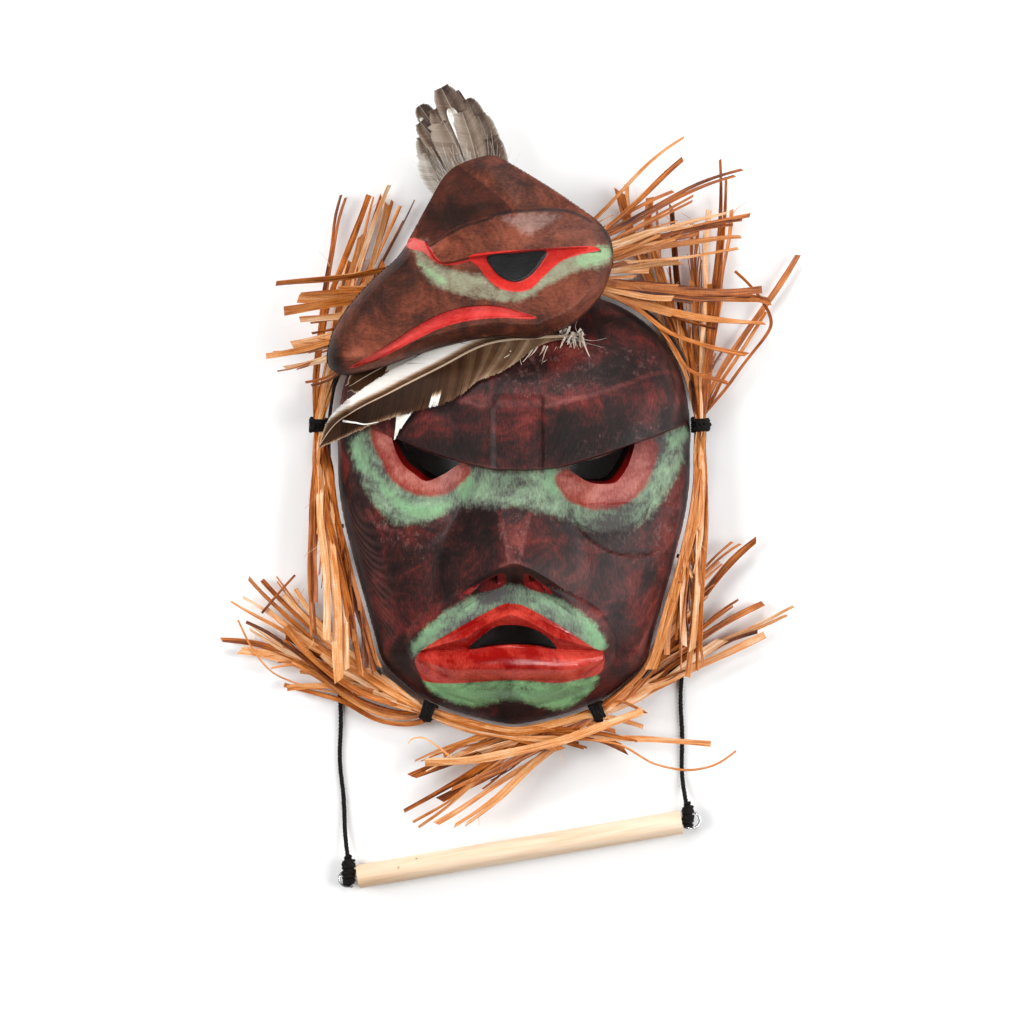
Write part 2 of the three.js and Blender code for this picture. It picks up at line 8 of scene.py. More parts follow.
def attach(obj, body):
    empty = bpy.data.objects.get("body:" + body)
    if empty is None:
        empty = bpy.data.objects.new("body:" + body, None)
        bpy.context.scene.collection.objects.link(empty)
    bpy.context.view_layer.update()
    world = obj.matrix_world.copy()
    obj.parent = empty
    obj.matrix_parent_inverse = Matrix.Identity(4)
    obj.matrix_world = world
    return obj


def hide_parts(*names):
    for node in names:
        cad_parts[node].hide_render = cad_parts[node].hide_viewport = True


# A carved cedar face mask with a raven head, laid on its back. Tables are in millimetres.
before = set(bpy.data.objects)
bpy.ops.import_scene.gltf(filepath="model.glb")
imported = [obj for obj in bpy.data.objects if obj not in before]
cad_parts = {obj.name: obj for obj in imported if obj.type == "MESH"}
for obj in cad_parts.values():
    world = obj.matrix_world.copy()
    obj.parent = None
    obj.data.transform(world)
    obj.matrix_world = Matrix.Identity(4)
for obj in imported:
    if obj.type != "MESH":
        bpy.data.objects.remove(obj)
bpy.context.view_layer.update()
bpy.ops.object.select_all(action="DESELECT")
draws = np.random.default_rng(41)  # seeded, so each run gives the same part

# The camera looks straight down on the part. Front-view tables hold a point as it is seen at "plane".
view = {"spot": (-1.333, -15.667), "height": 1900, "focal": 98.09, "film": 36, "plane": 40, "farthest": 20}

cameraData = bpy.data.cameras.new("camera")
cameraData.lens = view["focal"]
cameraData.sensor_width = view["film"]
cameraData.clip_end = view["farthest"]
camera = bpy.data.objects.new("camera", cameraData)
camera.location = (view["spot"][0] / 1000, view["spot"][1] / 1000, view["height"] / 1000)
bpy.context.scene.collection.objects.link(camera)
bpy.context.scene.camera = camera


# Moves a point towards or away from the one straight under the camera
def slid(x, y, scale):
    return tuple(spot + (place - spot) * scale for place, spot in zip((x, y), view["spot"]))


# Where a point of a front-view table is when it lies at height z, and where one at z is seen
def placed(x, y, z):
    return slid(x, y, (view["height"] - z) / (view["height"] - view["plane"]))


def seen(x, y, z):
    return slid(x, y, (view["height"] - view["plane"]) / (view["height"] - z))


# Soft studio light: place, aim and size in metres, power in watts, and what doesn't see the light. The left
# box leaves no haze on the nose, and the two cards show only as glints on the lip.
lights = [
    ("softbox_left", (-1.7, 0.2, 1.25), (0, -0.05, 0.03), (1.0, 1.8), 46, "visible_glossy"),
    ("softbox_right", (1.7, 0.0, 1.25), (0, -0.05, 0.03), (1.0, 1.8), 43, None),
    ("softbox_top", (0, 1.4, 1.1), (0, 0, 0.03), (0.8, 0.4), 14, None),
    ("card_left", (0.15, -0.5, 1.1), (0, -0.05, 0.03), (0.06, 0.24), 4.5, "visible_diffuse"),
    ("card_right", (0.5, -0.5, 1.1), (0, -0.05, 0.03), (0.06, 0.24), 4.5, "visible_diffuse"),
]
surround = 0.06  # the room's own light
for name, place, aim, size, power, hiddenFrom in lights:
    bpy.ops.object.light_add(type="AREA", location=place)
    light = bpy.context.object
    light.name = name
    light.data.shape = "RECTANGLE"
    light.data.size, light.data.size_y = size
    light.data.energy = power
    light.rotation_euler = (Vector(aim) - Vector(place)).to_track_quat("-Z", "Y").to_euler()
    if hiddenFrom:
        setattr(light, hiddenFrom, False)
world = bpy.data.worlds.new("room")
world.use_nodes = True
world.node_tree.nodes["Background"].inputs[0].default_value = (1, 1, 1, 1)
world.node_tree.nodes["Background"].inputs[1].default_value = surround
bpy.context.scene.world = world
bpy.context.scene.view_settings.view_transform = "Standard"
print("camera and lights set")


# Materials: sRGB hex to linear, one node with its settings and links, and one new surface
def toLinear(code):
    parts = [int(code[i:i + 2], 16) / 255 for i in (1, 3, 5)]
    return tuple(c / 12.92 if c <= 0.04045 else ((c + 0.055) / 1.055) ** 2.4 for c in parts) + (1,)


def addNode(tree, kind, inputs=None, out=0, stops=None, **settings):
    made = tree.nodes.new("ShaderNode" + kind)
    for key, value in settings.items():
        setattr(made, key, value)
    for socket, value in (inputs or {}).items():
        if isinstance(value, bpy.types.NodeSocket):
            tree.links.new(value, made.inputs[socket])
        else:
            made.inputs[socket].default_value = value
    for place, code in stops or ():
        made.color_ramp.elements.new(place).color = toLinear(code)
    if stops:
        made.color_ramp.elements.remove(made.color_ramp.elements[0])
        made.color_ramp.elements.remove(made.color_ramp.elements[-1])
    return made.outputs[out]


def newMaterial(name, **surface):
    material = bpy.data.materials.new(name)
    material.use_nodes = True
    shader = material.node_tree.nodes["Principled BSDF"]
    for socket, value in surface.items():
        shader.inputs[socket.replace("_", " ")].default_value = value
    return material, material.node_tree, shader


def wear(tree, shader, colour, roughness, height, distance):
    tree.links.new(colour, shader.inputs["Base Color"])
    if roughness is not None:
        tree.links.new(roughness, shader.inputs["Roughness"])
    bump = addNode(tree, "Bump", {"Strength": 1.0, "Distance": distance, "Height": height})
    tree.links.new(bump, shader.inputs["Normal"])


# Painted cedar: acrylic brushed thinly over carved wood. The strokes, the wood's growth rings 1 mm apart
# under them and a satin sheen are what the eye sees. Each painted field is a layer with a ragged edge.
# Patches are 26 mm across, blots 5 mm, strokes 1 by 4 mm and the paint's own grain 0.7 mm.
def paintedCedar(name, ground, layers, ringColour, roughness, brush=(900, 260, 500)):
    material, tree, shader = newMaterial(name, IOR=1.32)
    where = addNode(tree, "TexCoord", out=3)
    broad = {"Vector": where, "Scale": 38, "Detail": 9, "Roughness": 0.7, "Distortion": 0.6}
    patches = addNode(tree, "TexNoise", broad)
    brushed = addNode(tree, "Mapping", {"Vector": where, "Scale": brush})
    strokes = addNode(tree, "TexNoise", {"Vector": brushed, "Scale": 1, "Detail": 3, "Roughness": 0.6})
    fine = addNode(tree, "TexNoise", {"Vector": where, "Scale": 1400, "Detail": 2})
    blots = addNode(tree, "TexNoise", {"Vector": where, "Scale": 190, "Detail": 4, "Roughness": 0.7})
    edge = addNode(tree, "Mix", {0: 0.8, 2: strokes, 3: blots})
    mottle = addNode(tree, "Math", {0: strokes, 1: 0.3, 2: patches}, operation="MULTIPLY_ADD")
    patch = addNode(tree, "Attribute", out=2, attribute_name="patch")
    mottle = addNode(tree, "Math", {0: mottle, 1: patch}, operation="ADD")
    colour = addNode(tree, "ValToRGB", {"Fac": mottle}, stops=ground)
    heart = addNode(tree, "Mapping", {"Vector": where, "Location": (0.012, 0, 0.075)})
    rings = addNode(
        tree, "TexWave", {"Vector": heart, "Scale": 300, "Distortion": 0.8, "Detail": 2, "Detail Scale": 0.2},
        out=1, wave_type="RINGS", rings_direction="Y",
    )
    grain = addNode(tree, "Attribute", out=2, attribute_name="grain")
    ringCover = addNode(tree, "Math", {0: rings, 1: grain}, operation="MULTIPLY")
    colour = addNode(tree, "Mix", {0: ringCover, 6: colour, 7: toLinear(ringColour)}, out=2, data_type="RGBA")
    gloss = addNode(tree, "MapRange", {0: patches, 1: 0.3, 2: 0.7, 3: roughness + 0.08, 4: roughness - 0.08})
    for field, colours, ragged, soft, opaque, thin, shine in layers:
        depth = addNode(tree, "Attribute", out=2, attribute_name=field)
        frayed = addNode(tree, "Math", {0: edge, 1: ragged, 2: depth}, operation="MULTIPLY_ADD")
        laid = addNode(
            tree, "MapRange", {0: frayed, 1: ragged / 2 - soft, 2: ragged / 2 + soft, 3: 0, 4: opaque},
            interpolation_type="SMOOTHSTEP",
        )
        worn = addNode(tree, "MapRange", {0: mottle, 1: thin[0], 2: thin[1]})
        shades = {0: worn, 6: toLinear(colours[0]), 7: toLinear(colours[1])}
        tone = addNode(tree, "Mix", shades, out=2, data_type="RGBA")
        colour = addNode(tree, "Mix", {0: laid, 6: colour, 7: tone}, out=2, data_type="RGBA")
        gloss = addNode(tree, "Mix", {0: laid, 2: gloss, 3: shine})
    height = addNode(tree, "Math", {0: ringCover, 1: 0.3, 2: strokes}, operation="MULTIPLY_ADD")
    height = addNode(tree, "Math", {0: fine, 1: 0.3, 2: height}, operation="MULTIPLY_ADD")
    wear(tree, shader, colour, gloss, height, 0.00022)
    return material


# Shape helpers, in millimetres. The first reads a table of (place, value) pairs along a smooth curve.
def valueAt(table, t):
    xs, ys = np.array(table, float).T
    t = np.clip(np.asarray(t, float), xs[0], xs[-1])
    last = len(xs) - 1
    i = np.clip(np.searchsorted(xs, t) - 1, 0, last - 1)
    before, after = np.maximum(i - 1, 0), np.minimum(i + 2, last)
    step = xs[i + 1] - xs[i]
    start = (ys[i + 1] - ys[before]) / (xs[i + 1] - xs[before]) * step
    end = (ys[after] - ys[i]) / (xs[after] - xs[i]) * step
    s = (t - xs[i]) / step
    rise = ys[i + 1] - ys[i]
    return ys[i] + s * (start + s * (3 * rise - 2 * start - end + s * (start + end - 2 * rise)))


# From 0 at low to 1 at high, and level outside them
def ramp(value, low, high):
    return np.clip((value - low) / np.where(high == low, 1e-9, high - low), 0, 1)


# A dome, 1 at its middle and 0 past its radii
def dome(x, y, cx, cy, rx, ry):
    return np.maximum(0, 1 - ((x - cx) / rx) ** 2 - ((y - cy) / ry) ** 2)


# Level and at right angles to the left of a direction
def leftOf(ahead):
    return np.array([-ahead[1], ahead[0], 0])


# A smooth line through points, and the distance to a line of straight parts
def smoothLine(points, count, closed=False):
    points = np.array(points, float)
    before, after = (points[-1:], points[:2]) if closed else (points[:1], points[-1:])
    padded = np.vstack([before, points, after])
    spans = len(points) if closed else len(points) - 1
    t = np.arange(count) / count * spans if closed else np.linspace(0, spans, count)
    i = np.minimum(t.astype(int), spans - 1)
    s = (t - i)[:, None]
    a, b, c, d = padded[i], padded[i + 1], padded[i + 2], padded[i + 3]
    return b + 0.5 * s * (c - a + s * (2 * a - 5 * b + 4 * c - d + s * (3 * (b - c) + d - a)))


def lineDistance(points, x, y, closed=False):
    points = np.array(points, float)
    ends = np.roll(points, -1, axis=0) if closed else points[1:]
    nearest = np.full(np.shape(x), 1e9)
    for (ax, ay), (bx, by) in zip(points, ends):
        dx, dy = bx - ax, by - ay
        along = np.clip(((x - ax) * dx + (y - ay) * dy) / max(dx * dx + dy * dy, 1e-9), 0, 1)
        nearest = np.minimum(nearest, np.hypot(x - ax - along * dx, y - ay - along * dy))
    return nearest


# How far a point lies inside an outline, below 0 outside it
def depthInside(points, x, y):
    inside = np.zeros(np.shape(x), bool)
    points = np.array(points, float)
    for (ax, ay), (bx, by) in zip(points, np.roll(points, -1, axis=0)):
        if ay != by:
            inside ^= ((ay > y) != (by > y)) & (x < (bx - ax) * (y - ay) / (by - ay) + ax)
    far = lineDistance(points, x, y, True)
    return np.where(inside, far, -far)


# Grid lines from a start through (stop, cells) pairs; each may bend with the other axis
def gridLines(start, *stops):
    lines = [start]
    for to, cells in stops:
        begin = lines[-1]
        lines += [begin + (to - begin) * i / cells for i in range(1, cells + 1)]
    return np.stack(np.broadcast_arrays(*lines))


# A mesh's points in metres, and a value stored at each point or face for the materials
def meshPoints(obj):
    flat = np.empty(len(obj.data.vertices) * 3)
    obj.data.vertices.foreach_get("co", flat)
    return flat.reshape(-1, 3)


def setPoints(obj, points):
    obj.data.vertices.foreach_set("co", np.asarray(points, float).ravel())
    obj.data.update()


def setMark(obj, name, values, domain="POINT"):
    obj.data.attributes.new(name, "FLOAT", domain)
    obj.data.attributes[name].data.foreach_set("value", np.asarray(values, float).ravel())


def onlySelect(obj):
    bpy.ops.object.select_all(action="DESELECT")
    obj.select_set(True)
    bpy.context.view_layer.objects.active = obj


def applied(obj, kind, **settings):
    onlySelect(obj)
    modifier = obj.modifiers.new(kind.lower(), kind)
    for key, value in settings.items():
        setattr(modifier, key, value)
    bpy.ops.object.modifier_apply(modifier=modifier.name)


# Runs one edit-mode operator on the whole active mesh
def editAll(operator, **settings):
    bpy.ops.object.mode_set(mode="EDIT")
    bpy.ops.mesh.select_all(action="SELECT")
    operator(**settings)
    bpy.ops.object.mode_set(mode="OBJECT")


def cut(obj, tool, operation="DIFFERENCE"):
    applied(obj, "BOOLEAN", object=tool, operation=operation, solver="MANIFOLD")
    bpy.data.objects.remove(tool)


# A block whose top follows a height function over a grid that may bend with the carving
def relief(name, columns, rowsAt, bottom, height, outline):
    rows = rowsAt(columns)
    if rows.ndim == 1:
        rows = np.repeat(rows[:, None], len(columns), axis=1)
    bpy.ops.mesh.primitive_grid_add(x_subdivisions=len(columns) - 1, y_subdivisions=len(rows) - 1, size=2)
    block = bpy.context.object
    block.name = name
    spots = meshPoints(block)
    i = np.rint((spots[:, 0] + 1) / 2 * (len(columns) - 1)).astype(int)
    j = np.rint((spots[:, 1] + 1) / 2 * (len(rows) - 1)).astype(int)
    x, y = columns[i], rows[j, i]
    setPoints(block, np.stack([x, y, height(x, y)], axis=1) / 1000)
    editAll(bpy.ops.mesh.extrude_region_move, TRANSFORM_OT_translate={"value": (0, 0, -0.001)})
    lower = np.array([v.select for v in block.data.vertices])
    spots = meshPoints(block)
    spots[lower, 2] = (bottom - 20) / 1000  # past the prism that trims the block
    setPoints(block, spots)
    onlySelect(block)
    editAll(bpy.ops.mesh.normals_make_consistent, inside=False)
    cut(block, prism(outline, bottom), "INTERSECT")
    return block


# An outline drawn up from bottom to top, leaning (x, y) for each millimetre above the pivot
def prism(outline, bottom, top=200, lean=(0, 0)):
    outline = np.array(outline, float)
    bpy.ops.mesh.primitive_circle_add(vertices=len(outline), radius=1, fill_type="NGON")
    tool = bpy.context.object
    editAll(bpy.ops.mesh.extrude_region_move, TRANSFORM_OT_translate={"value": (0, 0, 1)})
    spots = meshPoints(tool)
    count = len(outline)
    turn = np.rint(np.arctan2(spots[:, 0], spots[:, 1]) / (2 * math.pi) * count).astype(int) % count
    z = np.where(spots[:, 2] > 0.5, top, bottom)
    x = outline[turn, 0] + lean[0] * (z - face["pivot"])
    y = outline[turn, 1] + lean[1] * (z - face["pivot"])
    setPoints(tool, np.stack([x, y, z], axis=1) / 1000)
    editAll(bpy.ops.mesh.normals_make_consistent, inside=False)
    return tool


# Gives a piece its name, its finish and its place in the frame
def finishPiece(obj, name, material, nodeNames, smooth=35):
    obj.name = name
    obj.data.name = name
    obj.data.materials.clear()
    obj.data.materials.append(material)
    onlySelect(obj)
    bpy.ops.object.shade_smooth_by_angle(angle=math.radians(smooth))
    bpy.ops.object.select_all(action="DESELECT")
    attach(obj, "root")
    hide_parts(*nodeNames)
    print(name, len(obj.data.polygons), "faces")
    return obj


# Many closed sleeves in one mesh. Each part is (rings, marks), with rings as [sleeve, along, around, xyz]
# and each mark one value, or one for each sleeve, ring or corner.
def loftPiece(name, parts, material, nodeNames, smooth=50):
    spots, faces, marks, first = [], [], {}, 0
    for rings, values in parts:
        rings = np.asarray(rings, float)
        count, length, around = rings.shape[:3]
        index = first + np.arange(count * length * around).reshape(count, length, around)
        beside = np.roll(index, -1, axis=2)
        sides = np.stack([index[:, :-1], beside[:, :-1], beside[:, 1:], index[:, 1:]], axis=-1)
        faces += sides.reshape(-1, 4).tolist() + index[:, 0, ::-1].tolist() + index[:, -1].tolist()
        spots.append(rings.reshape(-1, 3))
        for key, value in values.items():
            value = np.asarray(value, float)
            value = value.reshape(value.shape + (1,) * (3 - value.ndim))
            marks.setdefault(key, []).append(np.broadcast_to(value, (count, length, around)).ravel())
        first += count * length * around
    mesh = bpy.data.meshes.new(name)
    mesh.from_pydata((np.concatenate(spots) / 1000).tolist(), [], faces)
    obj = bpy.data.objects.new(name, mesh)
    bpy.context.scene.collection.objects.link(obj)
    for key, values in marks.items():
        setMark(obj, key, np.concatenate(values))
    return finishPiece(obj, name, material, nodeNames, smooth)


def unit(vectors):
    return vectors / np.linalg.norm(vectors, axis=-1, keepdims=True)


# Directions along, across and up at each point of a path, or of many paths at once
def frames(path):
    t = unit(np.gradient(path, axis=-2))
    steep = np.abs(t[..., 0, 2:3]) > 0.9
    side = np.cross(np.where(steep, np.array([0.0, 1, 0]), np.array([0.0, 0, 1])), t[..., 0, :])
    u = np.empty_like(t)
    for i in range(path.shape[-2]):
        ahead = t[..., i, :]
        side = unit(side - ahead * np.sum(side * ahead, axis=-1, keepdims=True))
        u[..., i, :] = side
    return t, u, np.cross(t, u)


def lengthsAlong(path):
    return np.concatenate([[0], np.cumsum(np.linalg.norm(np.diff(path, axis=0), axis=1))])


# The same path in even steps, with the length at each
def evenPath(path, spacing):
    path = np.asarray(path, float)
    lengths = lengthsAlong(path)
    stops = np.linspace(0, lengths[-1], max(3, round(lengths[-1] / spacing) + 1))
    return np.stack([np.interp(stops, lengths, part) for part in path.T], axis=1), stops


def tubeRings(path, radius, sides):
    path = np.asarray(path, float)
    _, u, v = frames(path)
    turn = (2 * math.pi * np.arange(sides) / sides)[:, None]
    around = np.cos(turn) * u[..., None, :] + np.sin(turn) * v[..., None, :]
    return path[..., None, :] + np.broadcast_to(radius, path.shape[:-1])[..., None, None] * around


# Yarn: three plies laid round a line, with stray hairs
yarn = {
    "ply": 0.82, "lay": 0.82,  # each ply's radius, and how far out it lies
    "twist": 7.5, "step": 1.1, "sides": 7,  # length of a full turn, and the mesh's fineness
    "hairs": 0.45, "hair": 2.6, "hairRadius": 0.1,  # hairs to a millimetre, and their reach
}


def yarnParts(line, size=1.0, hairs=1.0):
    path, along = evenPath(line, yarn["step"] * size)
    t, u, v = frames(path)
    parts = []
    for ply in range(3):
        turn = (2 * math.pi * (along / (yarn["twist"] * size) + ply / 3))[:, None]
        lay = path + yarn["lay"] * size * (np.cos(turn) * u + np.sin(turn) * v)
        swell = yarn["ply"] * size * (1 + 0.07 * np.sin(along * 1.7 + ply * 2))
        rings = tubeRings(lay, swell, yarn["sides"])
        parts.append((rings[None], {"tone": 0.3 + 0.2 * ply}))
    strays = []
    for _ in range(int(along[-1] * yarn["hairs"] * hairs)):
        i = draws.integers(1, len(path) - 1)
        turn = draws.uniform(0, 2 * math.pi)
        out = math.cos(turn) * u[i] + math.sin(turn) * v[i]
        out[2] = abs(out[2]) if path[i, 2] < 5 else out[2]
        reach = draws.uniform(0.6, yarn["hair"])
        s = np.linspace(0, 1, 4)[:, None]
        lean = t[i] * draws.uniform(-1.3, 1.3) * reach
        strays.append(path[i] + out * (yarn["lay"] * size + reach * s) + lean * s * s)
    if strays:
        rings = tubeRings(strays, yarn["hairRadius"] * np.linspace(1, 0.4, 4), 3)
        parts.append((rings, {"tone": 0.9}))
    return parts


# Wool yarn: matt black twisted fibre, a little brown where light comes through the strays
def woolYarn():
    material, tree, shader = newMaterial("spun_black_wool", Roughness=0.9, IOR=1.3)
    tone = addNode(tree, "Attribute", out=2, attribute_name="tone")
    where = addNode(tree, "TexCoord", out=3)
    fibres = addNode(tree, "TexNoise", {"Vector": where, "Scale": 2600, "Detail": 3})  # fibre tufts of 0.4 mm
    blend = addNode(tree, "Math", {0: tone, 1: 0.4, 2: fibres}, operation="MULTIPLY_ADD")
    stops = [(0.3, "#070607"), (0.6, "#100e0f"), (0.95, "#2a2422")]
    colour = addNode(tree, "ValToRGB", {"Fac": blend}, stops=stops)
    wear(tree, shader, colour, None, fibres, 0.0003)
    return material


wool = woolYarn()

# Knots of yarn round the screw eyes, and the cords that lie slack from the hoop to them
knotYarn = 0.72  # wound tighter than the cord
knots = {
    "left": {"centre": (-112, -259.5, 7.95), "radii": (4.9, 11.5, 5), "turns": 9},
    "right": {"centre": (118, -221.5, 7.95), "radii": (4.3, 9.6, 5), "turns": 8},
}
cords = {
    "left": [
        (-118, -28, 11), (-118.5, -48, 5), (-118, -75, 2.2), (-118, -120, 1.8), (-118, -184, 1.8),
        (-115, -225, 2.4), (-113, -249, 7.6),
    ],
    "right": [
        (115.5, -46, 11), (117, -62, 5), (116.5, -85, 2.2), (114, -130, 1.8), (114, -171, 1.8),
        (115, -198, 2.4), (116.4, -213.2, 7.6),
    ],
}
for side, plan in knots.items():
    centre, radii = np.array(plan["centre"]), np.array(plan["radii"])
    s = np.linspace(0, 1, 40 * plan["turns"])
    turn = 2 * math.pi * plan["turns"] * s
    fall = 0.94 - 1.88 * s + 0.05 * np.sin(turn * 0.37 + 1)
    belt = np.sqrt(np.maximum(1 - fall ** 4, 0.12)) * (1 + 0.07 * np.sin(turn * 1.31))
    winding = np.stack([np.cos(turn) * belt, fall + 0.1 * np.sin(turn), np.sin(turn) * belt], axis=1)
    parts = yarnParts(centre + winding * (radii - 1.1), knotYarn, 0.5)
    level = np.linspace(-1, 1, 12)  # a plain core closes the knot under its winding
    core = centre + np.stack([0 * level, level * (radii[1] - 1.4), 0 * level], axis=1)
    girth = np.sqrt(np.maximum(1 - (0.98 * level) ** 4, 0.02)) * (radii[0] - 1.3)
    parts.append((tubeRings(core, girth, 14)[None], {"tone": 0}))
    plan["piece"] = loftPiece("yarn_windings_" + side, parts, wool, ["yarn_knot_" + side])
for side, points in cords.items():
    line, along = evenPath(smoothLine(points, 240), 1.0)
    line[1:-1, 0] += 0.45 * np.sin(along[1:-1] / 8 + len(side)) * ramp(along[1:-1], 0, 20)
    line, along = evenPath(line, 1.0)
    rope = loftPiece("hanging_cord_" + side, yarnParts(line), wool, ["cord_" + side])
print("cords laid")


# The face: the same carving as in the solids, on a grid of about 1 mm
face = {
    "centreY": -11, "rim": 8, "wall": 10,
    "knife": (0.7, 17),  # depth and length of the waves that the knife left
    "outline": [
        (-90, 148.5), (-78, 145.5), (-65, 144), (-57, 141), (-50, 138), (-43, 128.8), (-34, 120.6),
        (-26, 116.4), (-16, 114.2), (-7, 115), (3, 118), (16, 124), (22, 129), (29, 135.2),
        (38, 143.5), (50, 151), (62, 152.5), (76, 149), (90, 147),
    ],
    "midline": [(-160, 40), (-140, 46), (-120, 53), (-100, 56), (-60, 58), (20, 58)],
    "browLeft": [(0, 12), (17, 13), (56, 24), (90, 38), (118, 51)],
    "browRight": [(0, 12), (9, 12), (33, 14.5), (78, 29), (114, 43), (124, 47)],
    "noseUnder": 13,
    "noseRise": [(-64, 32), (-49, 30), (-25, 18), (0, 8), (14, 4)],
    "noseRidge": [(-49, 5), (-20, 8), (0, 11), (14, 13)],
    "noseSpread": [(-60, 40), (-49, 38), (-25, 30), (0, 23), (14, 20)],
    "eyeRight": [(36, 15), (44, 7), (50, 4), (58, 3), (67, 4), (73, 10), (78, 19), (80, 30), (58, 21)],
    "eyeLeft": [(-82, 35), (-76, 18), (-65, 9), (-57, 5), (-47, 9), (-41, 13), (-37, 17.5), (-56, 24.5)],
    "mouth": [
        (-30, -106), (-22, -98), (-12, -91), (-1, -90), (10, -91.5), (21, -97), (28, -106), (16, -104),
        (-1, -103), (-14, -104),
    ],
    "cutter": (5, 95), "sides": 144, "hollowSides": 96,  # heights the holes' cutters span; the ovals' corners
    "pivot": 60,  # the height at which a hole has its outline, and its lean for each mm above that
    "lean": {"eyeRight": (0.35, -0.2), "eyeLeft": (-0.35, -0.2), "mouth": (0, 0)},
    "nostrils": [
        [(-33, -68.5, 65), (-9, -55.5, 78), (-9, -64, 64)],
        [(24, -68, 64), (8.5, -55.5, 78), (8.5, -64, 64)],
    ],
}


# The oval's radius towards a point, and the shell's rise there, from 0 at the rim to 1
def faceRadius(x, y):
    return valueAt(face["outline"], np.degrees(np.arctan2(y - face["centreY"], np.abs(x))))


def shellAt(x, y, inset):
    part = np.hypot(x, y - face["centreY"]) / (faceRadius(x, y) - inset)
    return np.sqrt(1 - np.minimum(part, 1) ** 4)


# The brow: a low roof with its ridge across the forehead, stepping down to the eyes at its lower edge
def browRidge(side):
    return 48 + 0.26 * np.maximum(side, 20)


def browEdge(x):
    return np.where(x < 0, valueAt(face["browLeft"], np.abs(x)), valueAt(face["browRight"], np.abs(x)))


def browHeight(x, y):
    side = np.abs(x)
    ridge = browRidge(side)
    top = np.where(y > ridge, 74 - 0.42 * (y - ridge), 74 + 0.08 * (ridge - y))
    top = top - 1.8 * ramp(x, -15, -12) * ramp(-x, -20, -18) * ramp(-y, -62, -58)  # flat between the brows
    top = top - 1.5 * np.maximum(side - 104, 0)
    return face["rim"] + (top - face["rim"]) * shellAt(x, y, 0)


# The nose: a wedge that slopes to both cheeks and ends in an arch over the lip
def noseArch(side):
    return -49 - 20 * (np.minimum(side, 42) / 36) ** 1.4


def noseHeight(x, y):
    side = np.abs(x)
    slope = 1 - ramp(side, valueAt(face["noseRidge"], y), valueAt(face["noseSpread"], y) + 13)
    slope = 1.25 * slope ** 2 / (slope + 0.25)
    return valueAt(face["noseRise"], y) * slope * (1 - ramp(noseArch(side) - y, 0, face["noseUnder"]))


# The lips: lines across the mouth from top to bottom, and the facets between them
def lipLines(side):
    top = -77 - 31 * (np.minimum(side, 66) / 62) ** 1.05
    upper = np.where(side < 29, -90 - 16 * (side / 29) ** 1.6, -106 - 2 * ramp(side, 29, 60))
    lower = np.where(side < 29, -103.5 - 2.5 * (side / 29), upper - 1)
    bottom = -127.5 + 13 * ramp(side, 36, 62) ** 1.5
    return {
        "top": top, "upper": upper, "lower": lower, "bottom": bottom,
        "upperCrest": top + 0.45 * (upper - top),
        "lowerCrest": lower + 0.3 * (bottom - lower),
        "lowerEdge": lower + 0.62 * (bottom - lower),
    }


def lipProfile(line, y):
    return np.select(
        [y > line["upperCrest"], y > line["lower"], y > line["lowerCrest"], y > line["lowerEdge"]],
        [
            1.5 + 5 * ramp(-y, -line["top"], -line["upperCrest"]),
            6.5 - 8 * ramp(-y, -line["upperCrest"], -line["upper"]),
            1 + 4.9 * ramp(-y, -line["lower"], -line["lowerCrest"]),
            5.9 + 2.5 * ramp(-y, -line["lowerCrest"], -line["lowerEdge"]),
        ],
        8.4 - 6.4 * ramp(-y, -line["lowerEdge"], -line["bottom"]),
    )


def lipHeight(x, y):
    side = np.abs(x + 2)
    mound = 12 * np.sqrt(dome(x, y, -2, -104, 70, 42))
    line = lipLines(side)
    lip = lipProfile(line, y)
    soft = (lipProfile(line, y - 1.6) + lip + lipProfile(line, y + 1.6)) / 3
    blend = ramp(52 - side, 0, 14) * ((y < line["lower"] - 2) & (y > line["bottom"] + 2))
    lip = lip + blend * (soft - lip)
    lip = np.where((side < 62) & (y < line["top"]) & (y > line["bottom"]), lip, 0)
    return mound + lip * (1 - 0.5 * ramp(side, 45, 62))


# The whole front of the face
def faceHeight(x, y):
    side = np.abs(x)
    base = face["rim"] + (valueAt(face["midline"], y) - face["rim"]) * shellAt(x, y, 0)
    eye = 5 * dome(side, y, 61, 10, 40, 36) - 3 * dome(side, y, 34, 0, 16, 24)
    cheek = (1.1 + 0.5 * np.sign(x)) * ramp(45.6 - np.hypot(side - 80, y), 0, 1.2) * (y < -10)
    lower = base + eye + cheek + noseHeight(x, y) + lipHeight(x, y)
    return np.where(y > browEdge(x), browHeight(x, y), lower)


# Shallow waves, as a knife leaves
def carved(x, y, z, depth, size):
    waves = [noise.noise(Vector((a / size, b / size, 0.3))) for a, b in zip(x.tolist(), y.tolist())]
    return z + depth * np.array(waves) * ramp(z, 8, 30)


def faceTop(x, y):
    return carved(x, y, faceHeight(x, y), *face["knife"])


# The hollow behind the face
def hollowHeight(x, y):
    underBrow = 44 + 0.1 * (y - 20) - 0.45 * np.maximum(y - 50, 0)
    crown = np.where(y > 20, underBrow, valueAt(face["midline"], y) - 15)
    return 5 + (crown - 5) * shellAt(x, y, face["wall"]) + 0.45 * noseHeight(x, y)


